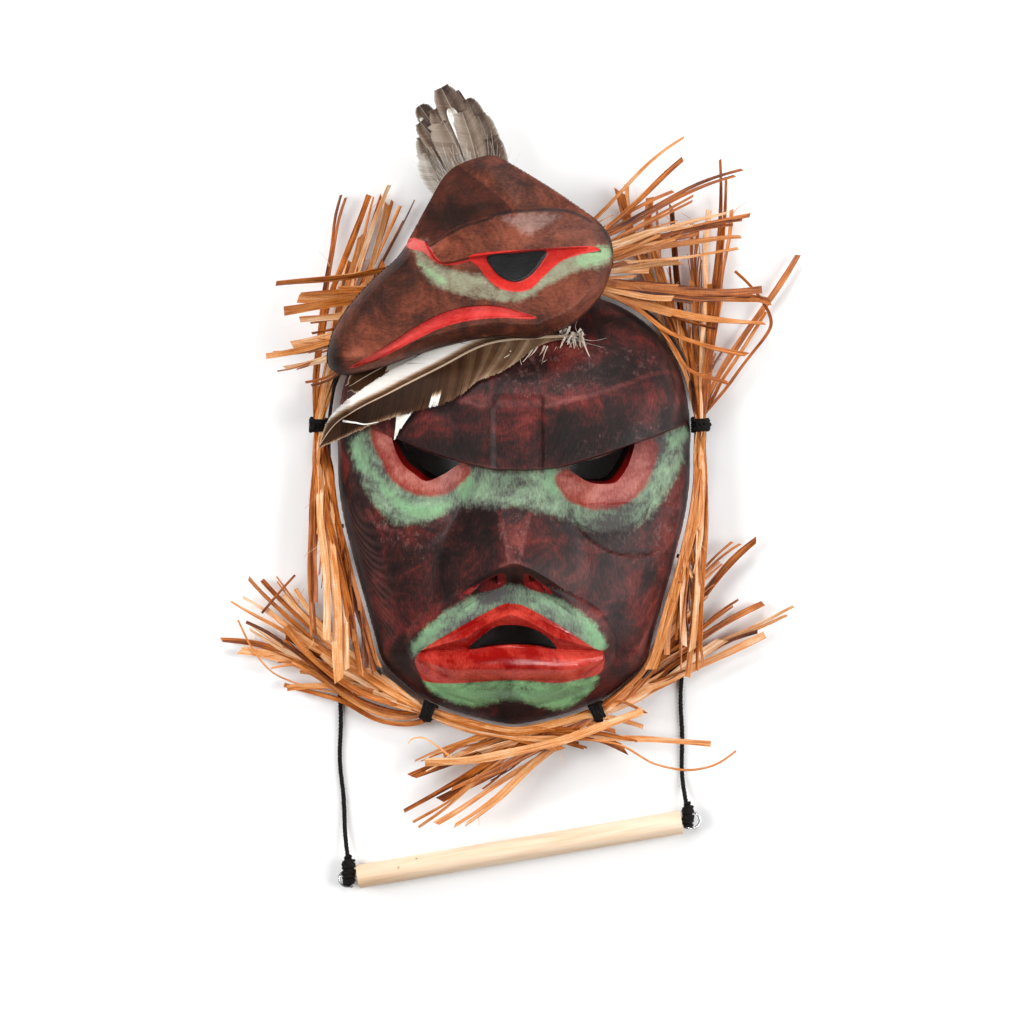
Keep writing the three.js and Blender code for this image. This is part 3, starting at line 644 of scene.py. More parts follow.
# The grid's rows follow the edges of lips, nose and brow, so that these stay crisp
def faceRows(x):
    lip = lipLines(np.abs(x + 2))
    arch = noseArch(np.abs(x))
    brow = browEdge(x)
    return gridLines(
        -164 + 0 * x, (lip["bottom"], 34), (lip["lowerEdge"], 8), (lip["lowerCrest"], 7), (lip["lower"], 6),
        (lip["upper"], 8), (lip["upperCrest"], 6), (lip["top"], 6),
        (np.maximum(lip["top"] + 2, arch - face["noseUnder"]), 12), (arch, 12),
        (-20 + 0 * x, 28), (brow - 0.5, 34), (brow + 0.5, 1), (browRidge(np.abs(x)), 32), (140 + 0 * x, 72),
    )


def rimRadius(angle):
    return valueAt(face["outline"], np.degrees(np.arcsin(np.sin(angle))))


def ovalOutline(inset, count):
    turn = 2 * math.pi * np.arange(count) / count
    radius = rimRadius(turn) - inset
    return np.stack([radius * np.cos(turn), face["centreY"] + radius * np.sin(turn)], axis=1)


def holeOutline(hole):
    return smoothLine(face[hole], 60, True)


# A cutter for one nostril, from its three corners under the nose
def nostril(corners):
    corners = np.array(corners, float)
    out = np.array([0, -0.87, 0.5])  # the way the nose's underside faces
    floor = 0.6 * corners + 0.4 * corners.mean(axis=0) - 5 * out
    mesh = bpy.data.meshes.new("nostril")
    mesh.from_pydata((np.vstack([floor, corners + 4 * out]) / 1000).tolist(), [], [])
    tool = bpy.data.objects.new("nostril", mesh)
    bpy.context.scene.collection.objects.link(tool)
    onlySelect(tool)
    editAll(bpy.ops.mesh.convex_hull)
    return tool


def carveFace():
    columns = gridLines(-126, (-64, 56), (64, 128), (126, 56))
    mask = relief("mask", columns, faceRows, 0, faceTop, ovalOutline(0, face["sides"]))
    hollow = relief(
        "hollow", gridLines(-120, (120, 70)), lambda x: gridLines(-160, (138, 80)), -5, hollowHeight,
        ovalOutline(face["wall"], face["hollowSides"]),
    )
    cut(mask, hollow)
    for hole, lean in face["lean"].items():
        cut(mask, prism(holeOutline(hole), *face["cutter"], lean))
    for corners in face["nostrils"]:
        cut(mask, nostril(corners))
    return mask


# Painted fields of the face, as seen from the front
facePaint = {
    "greenEyes": [[
        (-108.7, 32.3), (-105.3, 14.3), (-98.7, -1), (-90, -13.7), (-81.3, -21.7), (-72, -23.7),
        (-57.3, -21.7), (-44.7, -14.3), (-30, -12.3), (-17.3, -13), (0, -11.7), (17.3, -15), (31.3, -19.7),
        (48, -25.7), (60, -27.7), (78.7, -25), (90, -17.7), (100, -5), (107.3, 7.7), (114, 23), (116, 40.3),
        (97.3, 32.3), (80, 26.3), (30.7, 13.7), (9.3, 12.3), (-17.3, 12.3), (-41.3, 17), (-76, 32.3),
        (-94.7, 39),
    ]],
    "rings": [
        [(-96, 39), (-88, 17), (-80.7, 5), (-70.7, -2.3), (-60.7, -5), (-47.3, -4.3), (-36, 2.3),
         (-28.7, 12.3), (-41.3, 22.3), (-62.7, 32.3), (-79.3, 39)],
        [(28, 9.7), (32.7, -4.3), (40, -9.7), (54, -14.3), (70.7, -11.7), (84, -3), (92, 11), (96, 27),
         (90.7, 32.3), (70.7, 25.7), (50.7, 17.7)],
    ],
    "greenLip": [[
        (-67.3, -109), (-64, -99.7), (-56, -91.7), (-47.3, -83.7), (-29.3, -73), (-8.7, -65), (4, -65),
        (16.7, -67.7), (30.7, -74.3), (43.3, -81.7), (54.7, -91.7), (62, -103), (59.3, -107.7),
        (55.3, -108.3), (32, -93), (8, -79.7), (-10, -79), (-40.7, -95.7), (-65.3, -111.7),
    ]],
    "greenChin": [[
        (-60, -128.3), (-52.7, -136.3), (-38.7, -142.3), (-25.3, -145), (-7.3, -141), (-4, -138.3), (0, -137),
        (4.7, -139.7), (10.7, -143.7), (20.7, -145.7), (30, -147), (37.3, -145), (43.3, -141.7),
        (50.7, -134.3), (56, -125.7), (48, -126.3), (28, -129.7), (-0.7, -127.7), (-36, -129.7),
        (-49.3, -129),
    ]],
    "lips": [[
        (-64.7, -111), (-40.7, -95), (-10, -78.3), (-0.7, -77), (8, -79), (32, -92.3), (55.3, -107.7),
        (59.3, -107), (60, -117), (56, -123.7), (40.7, -127.7), (28, -129.7), (-0.7, -127.7), (-36, -129.7),
        (-57.3, -129), (-62.7, -123.7),
    ]],
    "nostrilRed": [
        [(-34.7, -70.3), (-8.7, -56.3), (-8, -65.7)],
        [(8, -56.3), (8, -65.7), (26, -70.3)],
    ],
    # paler lines along the carving's edges and ridges
    "edges": [
        [(20.7, 54.3), (57.3, 63.7), (105.3, 77.7), (107.3, 45.7)],
        [(-20.7, 54.3), (-56, 63.7), (-94.7, 75)],
        [(-90, 37), (-56.7, 23), (-17.3, 13.7), (9.3, 11.7), (33.3, 14.3), (80, 29), (114.7, 43)],
        [(-10, -15.7), (-6, -34.3), (-3.3, -47.7)],
        [(10.7, -15.7), (6.7, -34.3), (4, -47.7)],
        [(-9.3, -51.7), (0, -49), (10.7, -51.7)],
        [(48, -34.3), (60, -41), (72.7, -45), (91.3, -45.7), (102.7, -37.7)],
        [(-98, -14.3), (-89.3, -25.7), (-76, -29)],
        [(111.3, -7.7), (108, -45), (100, -69.7), (84, -107.7)],
    ],
    "grain": [[
        (-117.3, -5), (-101.3, -18.3), (-86.7, -47.7), (-81.3, -74.3), (-80, -101), (-86.7, -109),
        (-98.7, -77), (-110.7, -39.7),
    ]],
    "scratches": [
        [(-9.3, 92.3), (30.7, 97), (84, 93.7), (102.7, 80.3), (64, 69.7), (20.7, 60.3), (-9.3, 64.3)],
        [(50.7, -21), (90.7, -7.7), (109.3, -21), (100, -55.7), (70.7, -47.7)],
        [(-97.3, -15.7), (-76, -26.3), (-49.3, -22.3), (-56, -47.7), (-82.7, -45)],
        [(-12, -11.7), (12, -11.7), (6.7, -49), (-6.7, -49)],
        [(22.7, 25.7), (84, 45.7), (105.3, 59), (108, 49), (84, 32.3), (30.7, 17.7)],
        [(117.3, 32.3), (113.3, -7.7), (100, -67.7), (84, -101), (92, -61), (105.3, -7.7)],
    ],
    "bright": [
        [(-98.7, 17.7), (-85.3, -5), (-69.3, -18.3), (-49.3, -17), (-41.3, -7.7), (-56, -11.7), (-72.7, -9),
         (-86, 3)],
        [(-39.3, 9.7), (-29.3, 12.3), (-26.7, -1), (-36, -7.7)],
        [(20, 9.7), (28, 12.3), (30.7, -2.3), (22.7, -3.7)],
        [(102.7, 36.3), (116, 40.3), (114, 32.3), (105.3, 28.3)],
        [(-108.7, 32.3), (-100, 32.3), (-96, 12.3), (-104, 13.7)],
        [(-68, -105), (-56, -91.7), (-46.7, -86.3), (-56, -101), (-65.3, -109)],
        [(49.3, -87.7), (60, -102.3), (56, -106.3), (46.7, -94.3)],
        [(-49.3, -135.7), (-9.3, -134.3), (37.3, -135.7), (50.7, -130.3), (30.7, -143.7), (-9.3, -139.7),
         (-36, -141)],
    ],
    # red and dark patches: x, y, half width, half height, strength. Most are the paint's own;
    # dark ones at the brows' lower edge and beside the nose are painted shade; the one down the nose ridge, a
    # painted highlight
    "patches": [
        (40, 95, 26, 6, 0.16), (70, 60, 30, 9, 0.1), (8, 45, 7, 22, 0.14), (-60, 55, 34, 12, -0.05),
        (-32, -70, 9, 24, 0.1), (-56, -78, 16, 26, 0.05), (46, -82, 22, 30, 0.12), (86, -92, 12, 34, 0.16),
        (62, -116, 12, 26, 0.1), (-70, -30, 14, 40, 0.07), (104, -20, 8, 50, 0.16), (24, -40, 10, 14, 0.1),
        (0, -34, 9, 18, 0.2), (-22, -22, 14, 16, -0.1), (30, -22, 16, 12, -0.06), (64, -34, 22, 8, -0.08),
        (-44, -112, 8, 10, -0.1), (70, -110, 9, 30, -0.05), (0, -148, 60, 10, -0.04), (60, 30, 40, 12, -0.14),
        (-50, 26, 40, 10, -0.12), (80, 78, 30, 30, -0.08), (-90, 0, 8, 40, 0.05), (-37, -48, 12, 26, -0.16),
        (37, -52, 12, 24, -0.07), (0, 58, 90, 5, 0.05), (52, -84, 30, 30, -0.05), (-76, -90, 16, 40, -0.05),
        (-98, -60, 10, 50, -0.06), (-10, 98, 60, 14, 0.06), (100, 20, 16, 24, -0.1), (0, 0, 30, 8, 0.03),
        (-76, -8, 20, 10, -0.04), (-20, -112, 22, 5, -0.08), (34, -116, 18, 5, 0.1), (-46, -110, 12, 7, 0.08),
        (10, -124, 40, 3, 0.1), (-30, -92, 16, 6, -0.1), (36, -94, 14, 6, -0.06), (0, -84, 20, 4, 0.06),
        (-14, -135, 16, 4, -0.14), (30, -136, 12, 4, -0.08), (-44, -130, 14, 4, 0.05),
        (4, -129, 30, 3, -0.06),
    ],
}


# How far a point lies inside painted fields, how far it is from lines, and the sum of soft patches
def fieldDepth(shapes, x, y):
    depths = [depthInside(smoothLine(shape, 5 * len(shape), True), x, y) for shape in shapes]
    return np.maximum(np.max(depths, axis=0), -60)


def lineGap(lines, x, y):
    return np.min([lineDistance(smoothLine(line, 5 * len(line)), x, y) for line in lines], axis=0)


def patchSum(patches, x, y):
    return sum(s * np.exp(-((x - cx) / rx) ** 2 - ((y - cy) / ry) ** 2) for cx, cy, rx, ry, s in patches)


# Marks the steep faces that a hole's cutter left along its outline
def holeWalls(obj, holes):
    middle, normal = np.empty(len(obj.data.polygons) * 3), np.empty(len(obj.data.polygons) * 3)
    obj.data.polygons.foreach_get("center", middle)
    obj.data.polygons.foreach_get("normal", normal)
    x, y, z = middle.reshape(-1, 3).T * 1000
    steep = np.abs(normal[2::3]) < 0.75
    walls = np.full(len(x), -3.0)
    for hole in holes:
        lean, high = face["lean"][hole], z - face["pivot"]
        depth = depthInside(holeOutline(hole), x - lean[0] * high, y - lean[1] * high)
        walls[steep & (np.abs(depth) < 0.6) & (z > 12)] = 3
    setMark(obj, "walls", walls, "FACE")


def paintFace(mask):
    x3, y3, z3 = meshPoints(mask).T * 1000
    x, y = seen(x3, y3, z3)
    for name in ("greenEyes", "rings", "greenLip", "greenChin", "lips", "nostrilRed", "bright"):
        depth = np.where(y3 > browEdge(x3), -9, fieldDepth(facePaint[name], x, y))
        setMark(mask, name, depth)
        if name == "rings":
            setMark(mask, "ringCore", depth - 4)
    setMark(mask, "scratches", np.minimum(fieldDepth(facePaint["scratches"], x, y), 1.5) - 3.2)
    setMark(mask, "grain", 0.02 + 0.2 * ramp(fieldDepth(facePaint["grain"], x, y), -3, 6))
    setMark(mask, "edges", 1.4 - lineGap(facePaint["edges"], x, y))
    setMark(mask, "patch", patchSum(facePaint["patches"], x, y))
    # the hollow's inner surface is painted near black: painted shade, so that the holes read dark
    insideShade = (z3 < hollowHeight(x3, y3) + 1.5) & (np.hypot(x3, y3 - face["centreY"]) < faceRadius(x3, y3) - 9)
    setMark(mask, "insideShade", np.where(insideShade, 3, -3))
    holeWalls(mask, ["eyeRight", "eyeLeft"])


# Each layer: mark, colours from thin to full, ragged edge, soft edge, cover, where it thins, roughness
faceLayers = [
    ("edges", ("#5e2423", "#8f5652"), 3.2, 1.1, 0.4, (0.55, 0.85), 0.5),
    ("scratches", ("#63403d", "#9b7f79"), 14, 1.6, 0.6, (0.5, 0.9), 0.55),
    ("greenEyes", ("#4e4a47", "#94b291"), 13, 3.2, 0.92, (0.54, 0.8), 0.6),
    ("greenLip", ("#565352", "#8cb08b"), 9, 2.2, 0.93, (0.54, 0.8), 0.6),
    ("greenChin", ("#4f6647", "#94c88c"), 9, 2.2, 0.95, (0.46, 0.72), 0.6),
    ("bright", ("#7f9f7f", "#8bc98a"), 12, 3.0, 0.6, (0.5, 0.9), 0.6),
    ("rings", ("#6f1c17", "#ad493c"), 5, 1.7, 0.96, (0.5, 0.85), 0.45),
    ("ringCore", ("#a04b42", "#dd9c8e"), 14, 3.4, 0.6, (0.54, 0.84), 0.45),
    ("nostrilRed", ("#5c0f10", "#a01c1a"), 1.5, 0.5, 0.95, (0.5, 0.8), 0.5),
    ("lips", ("#8f0e0a", "#d84a3c"), 1.4, 0.5, 1.0, (0.54, 0.84), 0.15),
    ("walls", ("#650806", "#b3150f"), 1, 0.6, 1.0, (0.45, 0.8), 0.4),
    # painted shade: the hollow's inside in near black, so the eye and mouth holes read dark
    ("insideShade", ("#17100d", "#241914"), 1, 0.6, 1.0, (0.45, 0.8), 0.8),
]
faceGround = [(0.45, "#140d0d"), (0.58, "#231514"), (0.67, "#3a1c1a"), (0.78, "#622522"), (0.95, "#8c4238")]
faceMaterial = paintedCedar("brushed_acrylic_on_cedar", faceGround, faceLayers, "#7a524f", 0.5)
mask = carveFace()
paintFace(mask)
finishPiece(mask, "carved_face", faceMaterial, ["face_mask"], 32)

# The raven's head in profile, its beak to the left
raven = {
    "back": 36, "edge": 66, "flat": 88, "brow": 98,  # heights
    "groove": 3, "knife": (0.7, 13), "painted": 60,  # the front's paint starts at this height
    "room": 0.3, "featherRoom": 6,  # between it and the forehead, and for the feathers
    "outline": [
        (-70, 161), (-59, 181), (-48, 201), (-41, 209), (-34, 213), (-25, 216), (-15, 218), (-7, 215),
        (23, 197), (45, 182), (57, 173), (63, 163), (65, 153), (64, 144), (57, 127), (40, 110),
        (23, 102), (12, 99), (-12, 100), (-32, 97), (-61, 89), (-83, 81), (-105, 76), (-115, 76),
        (-121, 79), (-123, 87), (-119, 103), (-109, 119), (-93, 137), (-78, 150),
    ],
    "browEdge": [
        (-74, 161), (-59, 161), (-55, 155), (-49, 147), (-42, 146), (-27, 149), (18, 154), (66, 157),
    ],
    "browTop": [
        (-70, 157), (-55, 158), (-37, 169), (-8, 179), (16, 181), (37, 180), (52, 173), (66, 165),
    ],
    "mouthTop": [(-106, 79), (-83, 93), (-61, 107), (-40, 116), (-20, 119), (-5, 117), (13, 111)],
    "mouthLow": [(-106, 79), (-90, 83), (-69, 94), (-48, 104), (-27, 110), (-8, 111), (13, 111)],
}
ravenPaint = {
    "green": [[
        (-66.7, 159.7), (-64, 151), (-58.7, 141), (-48.7, 133.7), (-30, 128.3), (-8, 125), (9.3, 127),
        (23.3, 136.3), (42, 145), (59.3, 147.7), (64.7, 153.7), (63.3, 161), (51.3, 159), (30.7, 151.7),
        (19.3, 141.7), (10.7, 133), (-10, 133), (-21.3, 141.7), (-34.7, 144.3), (-49.3, 148.3),
        (-57.3, 154.3),
    ]],
    "ring": [[
        (-30.7, 154.3), (-24, 148.3), (-18.7, 141), (-10, 133.7), (0.7, 131), (10.7, 133), (19.3, 141),
        (30.7, 151), (42.7, 155.7), (57.3, 159), (48, 161.7), (18, 159.7), (-16, 157.7),
    ]],
    "pupil": [[
        (-18, 155), (1.3, 157), (21.3, 158.3), (18, 150.3), (12, 143), (6, 139), (0, 137.7), (-6.7, 139.7),
        (-12.7, 144.3),
    ]],
    "browFront": [[
        (-72.7, 163.7), (-68.7, 167), (-63.3, 166.3), (-58.7, 163.7), (-55.3, 159), (-52, 154.3),
        (-48, 149.7), (-54.7, 152.3), (-60.7, 157.7), (-69.3, 159.7),
    ]],
    "mouth": [[
        (-110, 80.3), (-84.7, 95), (-62, 109.7), (-41.3, 119), (-20, 121.7), (-5.3, 120.3), (14.7, 114.3),
        (10.7, 113), (-8, 113.7), (-27.3, 112.3), (-48.7, 107), (-70.7, 96.3), (-92, 85.7),
    ]],
    "redLines": [[(-58.7, 163.7), (-54.7, 156.3), (-50, 151), (-42.7, 149.7), (-34.7, 151), (-27.3, 153)]],
    "darkLines": [
        [(-56, 161.7), (-37.3, 173), (-17.3, 179.7), (-8, 183.7), (16, 185.7), (38, 184.3), (52.7, 177)],
        [(-70.7, 159.7), (-79.3, 153), (-94.7, 139.7), (-110.7, 121), (-121.3, 105), (-124.7, 89),
         (-123.3, 80.3), (-116.7, 77)],
        [(60, 173), (64.7, 163.7), (66, 155.7)],
        [(57.3, 158.3), (37.3, 157), (20.7, 156.3)],
    ],
    "worn": [
        [(-6.7, 179.7), (2.7, 183), (14.7, 183.7), (29.3, 181.7), (21.3, 176.3), (12, 170.3), (6.7, 171),
         (0, 175.7)],
        [(-68, 163.7), (-60, 165), (-56, 160.3)],
    ],
    "bright": [
        [(44, 155), (53.3, 160.3), (64, 161.7), (64.7, 154.3), (54.7, 149.7), (42.7, 148.3)],
        [(-62.7, 151), (-52, 144.3), (-44, 136.3), (-56, 140.3)],
    ],
    # the crown's left plane, painted darker than the right: painted shade on the facet turned from the light
    "crown": [[
        (-44, 219), (-34.7, 213.7), (-1.3, 186.3), (-18.7, 181), (-37.3, 174.3), (-56, 163), (-66, 165.7),
        (-56, 192.3),
    ]],
    # red and dark patches as on the face; the dark one on the crown's left plane is painted shade
    "patches": [
        (-48, 162, 16, 6, 0.16), (6, 166, 50, 8, 0.12), (52, 160, 14, 10, 0.08), (-108, 92, 14, 18, 0.12),
        (-64, 122, 26, 12, 0.06), (52, 132, 12, 16, 0.1), (30, 124, 20, 10, 0.05), (-44, 186, 20, 18, -0.12),
        (-120, 84, 8, 20, -0.3), (-78, 150, 16, 8, -0.16), (-60, 140, 14, 8, -0.08), (-10, 128, 40, 6, -0.06),
        (-121, 90, 5, 14, -0.16), (-50, 96, 60, 5, -0.03), (60, 168, 8, 12, -0.12), (-14, 214, 30, 4, -0.12),
        (-40, 150, 20, 4, 0.05), (-90, 128, 14, 20, -0.06), (22, 112, 22, 8, -0.05),
    ],
}


def ravenOutline():
    return smoothLine(raven["outline"], 150, True)


# The raven's front: a rolled edge, the flat cheek with its mouth, eye ring and pupil, and brow and crown
def ravenHeight(x, y):
    inside = lineDistance(ravenOutline(), x, y, True)
    beak = ramp(-x, 40, 115)
    fall = 1 - np.minimum(inside / (22 - 4 * beak), 1)
    pillow = raven["edge"] + (30 - 12 * beak) * np.sqrt(1 - fall ** 2)
    browTop = valueAt(raven["browTop"], x)
    brow = raven["brow"] - 14 * ((x + 5) / 62) ** 2
    crownLeft = 91.2 + 0.32 * (x + 1.3) - 0.31 * (y - 186)
    crownRight = brow - 1 - 0.55 * (y - browTop) - 0.12 * (x + 20)
    crown = np.where(y > browTop, np.minimum(crownLeft, crownRight), brow)
    groove = (x > -106) & (x < 13) & (y < valueAt(raven["mouthTop"], x)) & (y > valueAt(raven["mouthLow"], x))
    u, v = seen(x, y, raven["flat"])
    ring = ramp(fieldDepth(ravenPaint["ring"], u, v), -0.5, 1.2)
    pupil = ramp(fieldDepth(ravenPaint["pupil"], u, v), -0.3, 0.8)
    top = np.minimum(pillow, raven["flat"] - 6 * beak) - raven["groove"] * groove - ring + 1.4 * pupil
    return np.where((y > valueAt(raven["browEdge"], x)) & (x > -72), np.minimum(pillow + 6, crown), top)


def ravenRows(x):
    mouth = valueAt(raven["mouthLow"], x)
    brow = valueAt(raven["browEdge"], x)
    return gridLines(
        70 + 0 * x, (mouth, 34), (np.maximum(mouth + 1, valueAt(raven["mouthTop"], x)), 12), (brow - 0.5, 52),
        (brow + 0.5, 1), (np.maximum(brow + 2, valueAt(raven["browTop"], x)), 24), (222 + 0 * x, 48),
    )


# What the raven and the feathers rest on, and the room that the raven's back leaves over it
def forehead(x, y):
    outside = np.hypot(x, y - face["centreY"]) > faceRadius(x, y) + 1
    return np.where(outside, 0, browHeight(x, y))


def restRoom(x, y):
    room = raven["room"] + raven["featherRoom"] * ramp(108 - y, 0, 7)
    return carved(x, y, forehead(x, y), *face["knife"]) + room


def carveRaven():
    height = lambda x, y: carved(x, y, ravenHeight(x, y), *raven["knife"])
    head = relief("head", gridLines(-126, (68, 216)), ravenRows, raven["back"], height, ravenOutline())
    rows = lambda x: gridLines(73, (141, 50))
    oval = ovalOutline(-1, face["hollowSides"])
    cut(head, relief("rest", gridLines(-126, (68, 100)), rows, 0, restRoom, oval))
    return head


def paintRaven(head):
    x3, y3, z3 = meshPoints(head).T * 1000
    x, y = seen(x3, y3, z3)
    front = z3 > raven["painted"]
    for name in ("green", "ring", "pupil", "browFront", "mouth", "worn", "crown", "bright"):
        setMark(head, name, np.where(front, fieldDepth(ravenPaint[name], x, y), -20))
    setMark(head, "redLine", np.where(front, 0.8 - lineGap(ravenPaint["redLines"], x, y), -20))
    setMark(head, "darkLine", 1.0 - lineGap(ravenPaint["darkLines"], x, y))
    setMark(head, "grain", np.full(len(x), 0.03))
    setMark(head, "patch", patchSum(ravenPaint["patches"], x, y))
    setMark(head, "side", raven["edge"] + 0.5 - z3)


ravenLayers = [
    # painted shade on the crown's left plane
    ("crown", ("#22110d", "#52241a"), 2.2, 0.8, 0.8, (0.5, 0.95), 0.5),
    ("side", ("#24140f", "#46241c"), 4, 1.5, 0.9, (0.5, 0.8), 0.55),
    ("green", ("#74614f", "#a2ad90"), 9, 2.2, 0.86, (0.52, 0.84), 0.6),
    ("bright", ("#7f9676", "#9dc491"), 9, 2.2, 0.75, (0.5, 0.8), 0.6),
    ("worn", ("#7c5850", "#b89a90"), 14, 3, 0.5, (0.5, 0.8), 0.6),
    ("darkLine", ("#150f0e", "#231a18"), 3, 0.8, 0.85, (0.5, 0.8), 0.5),
    ("browFront", ("#a82a28", "#d0605a"), 1, 0.6, 1.0, (0.5, 0.8), 0.45),
    ("redLine", ("#a81c18", "#c4302a"), 0.8, 0.4, 0.95, (0.5, 0.8), 0.45),
    ("ring", ("#b01712", "#d8362d"), 0.8, 0.4, 1.0, (0.5, 0.8), 0.4),
    ("pupil", ("#1f1f20", "#2b2b2c"), 0.5, 0.4, 1.0, (0.5, 0.8), 0.35),
    ("mouth", ("#b9201e", "#dd514b"), 0.8, 0.4, 1.0, (0.5, 0.8), 0.45),
]
ravenGround = [(0.4, "#1f100c"), (0.55, "#3f2016"), (0.66, "#5f2f20"), (0.78, "#7f422f"), (0.94, "#9e5740")]
ravenMaterial = paintedCedar(
    "brushed_acrylic_on_cedar_raven", ravenGround, ravenLayers, "#7a5a50", 0.52, brush=(420, 700, 500),
)
head = carveRaven()
paintRaven(head)
finishPiece(head, "carved_raven", ravenMaterial, ["raven_head"], 32)
print("carving done")


# Thick wire under brushed black enamel, worn brown in rubs 4 mm across where the yarn moves on it
def blackEnamel():
    material, tree, shader = newMaterial("brushed_black_enamel", IOR=1.5)
    where = addNode(tree, "TexCoord", out=3)
    rubs = addNode(tree, "TexNoise", {"Vector": where, "Scale": 220, "Detail": 4, "Roughness": 0.7})
    stops = [(0.4, "#131112"), (0.6, "#1f1a19"), (0.8, "#3a2c24")]
    colour = addNode(tree, "ValToRGB", {"Fac": rubs}, stops=stops)
    gloss = addNode(tree, "MapRange", {0: rubs, 1: 0.3, 2: 0.7, 3: 0.38, 4: 0.6})
    wear(tree, shader, colour, gloss, rubs, 0.0001)
    return material


# A straight rod between two points, its ends eased
def addRod(start, end, radius, ease):
    start, end = Vector(start), Vector(end)
    span = end - start
    bpy.ops.mesh.primitive_cylinder_add(
        vertices=72, radius=radius / 1000, depth=span.length / 1000, location=(start + end) / 2000,
        rotation=span.to_track_quat("Z", "Y").to_euler(),
    )
    rod = bpy.context.object
    bpy.ops.object.transform_apply(location=True, rotation=True, scale=True)
    applied(rod, "BEVEL", width=ease / 1000, segments=3, limit_method="ANGLE", angle_limit=math.radians(60))
    return rod


# The hoop of thick wire behind the mask's edge, and its two pegs
hoop = {
    "off": 6, "height": 14, "wire": 1.2, "pegs": {"left": math.pi + 0.12, "right": -0.3},
    "pegRadius": 1.4, "pegEase": 0.3,
}
enamel = blackEnamel()


def hoopPoint(angle):
    radius = rimRadius(angle) + hoop["off"]
    x, y = radius * np.cos(angle), face["centreY"] + radius * np.sin(angle)
    return np.stack([x, y, hoop["height"] + 0 * x], axis=-1)


def bendHoop():
    bpy.ops.mesh.primitive_torus_add(major_segments=200, minor_segments=12, major_radius=1, minor_radius=0.1)
    ring = bpy.context.object
    spots = meshPoints(ring)
    angle = np.arctan2(spots[:, 1], spots[:, 0])
    thick = 10 * hoop["wire"] * (1 + 0.05 * np.sin(angle * 31))
    out = (np.hypot(spots[:, 0], spots[:, 1]) - 1) * thick
    wire = np.stack([np.cos(angle) * out, np.sin(angle) * out, spots[:, 2] * thick], axis=1)
    setPoints(ring, (hoopPoint(angle) + wire) / 1000)
    finishPiece(ring, "hoop_ring", enamel, ["hoop"], 60)


bendHoop()
for side, angle in hoop["pegs"].items():
    outer = hoopPoint(np.array(angle))
    inward = unit(np.array([0, face["centreY"], hoop["height"]]) - outer)
    ends = outer + inward * (hoop["off"] - 0.9), outer + inward * (hoop["wire"] + 0.3)
    peg = addRod(*ends, hoop["pegRadius"], hoop["pegEase"])
    finishPiece(peg, "peg_" + side, enamel, ["hoop_peg_" + side], 40)


# Split cedar bark: flat strips of long fibres, orange brown streaked from near black to cream, with the
# low silky gloss of dried bast. The darkest streaks are partly painted shade between strips, the palest
# partly painted highlight. Streaks are 1 to 3 mm wide and 20 to 30 mm long, coarser than the fibres of 0.5
# mm, which are too fine to show, and cross cracks 1 mm long lie over them.
def cedarBark():
    material, tree, shader = newMaterial("split_cedar_bark", IOR=1.42)
    shade = addNode(tree, "Attribute", out=2, attribute_name="shade")
    along = addNode(tree, "Attribute", out=2, attribute_name="along")
    across = addNode(tree, "Attribute", out=2, attribute_name="across")
    own = addNode(tree, "Math", {0: shade, 1: 97}, operation="MULTIPLY")
    lengthwise = addNode(tree, "CombineXYZ", {0: across, 1: along, 2: own})
    tone = addNode(tree, "Math", {0: shade, 1: 0.44, 2: -0.102}, operation="MULTIPLY_ADD")
    for share, scale in ((0.44, (0.3, 0.045, 1)), (0.13, (0.06, 1.2, 1)), (0.62, (1.1, 0.035, 1))):
        drawn = addNode(tree, "Mapping", {"Vector": lengthwise, "Scale": scale})
        streaks = addNode(tree, "TexNoise", {"Vector": drawn, "Scale": 1, "Detail": 4, "Roughness": 0.65})
        tone = addNode(tree, "Math", {0: streaks, 1: share, 2: tone}, operation="MULTIPLY_ADD")
    stops = [
        (0.42, "#240e05"), (0.52, "#6e300b"), (0.63, "#b05d1c"), (0.75, "#d5843f"), (0.87, "#e9ab73"),
        (0.99, "#f9dcbb"),
    ]
    colour = addNode(tree, "ValToRGB", {"Fac": tone}, stops=stops)
    gloss = addNode(tree, "MapRange", {0: streaks, 1: 0.3, 2: 0.7, 3: 0.52, 4: 0.32})
    wear(tree, shader, colour, gloss, streaks, 0.0005)
    return material


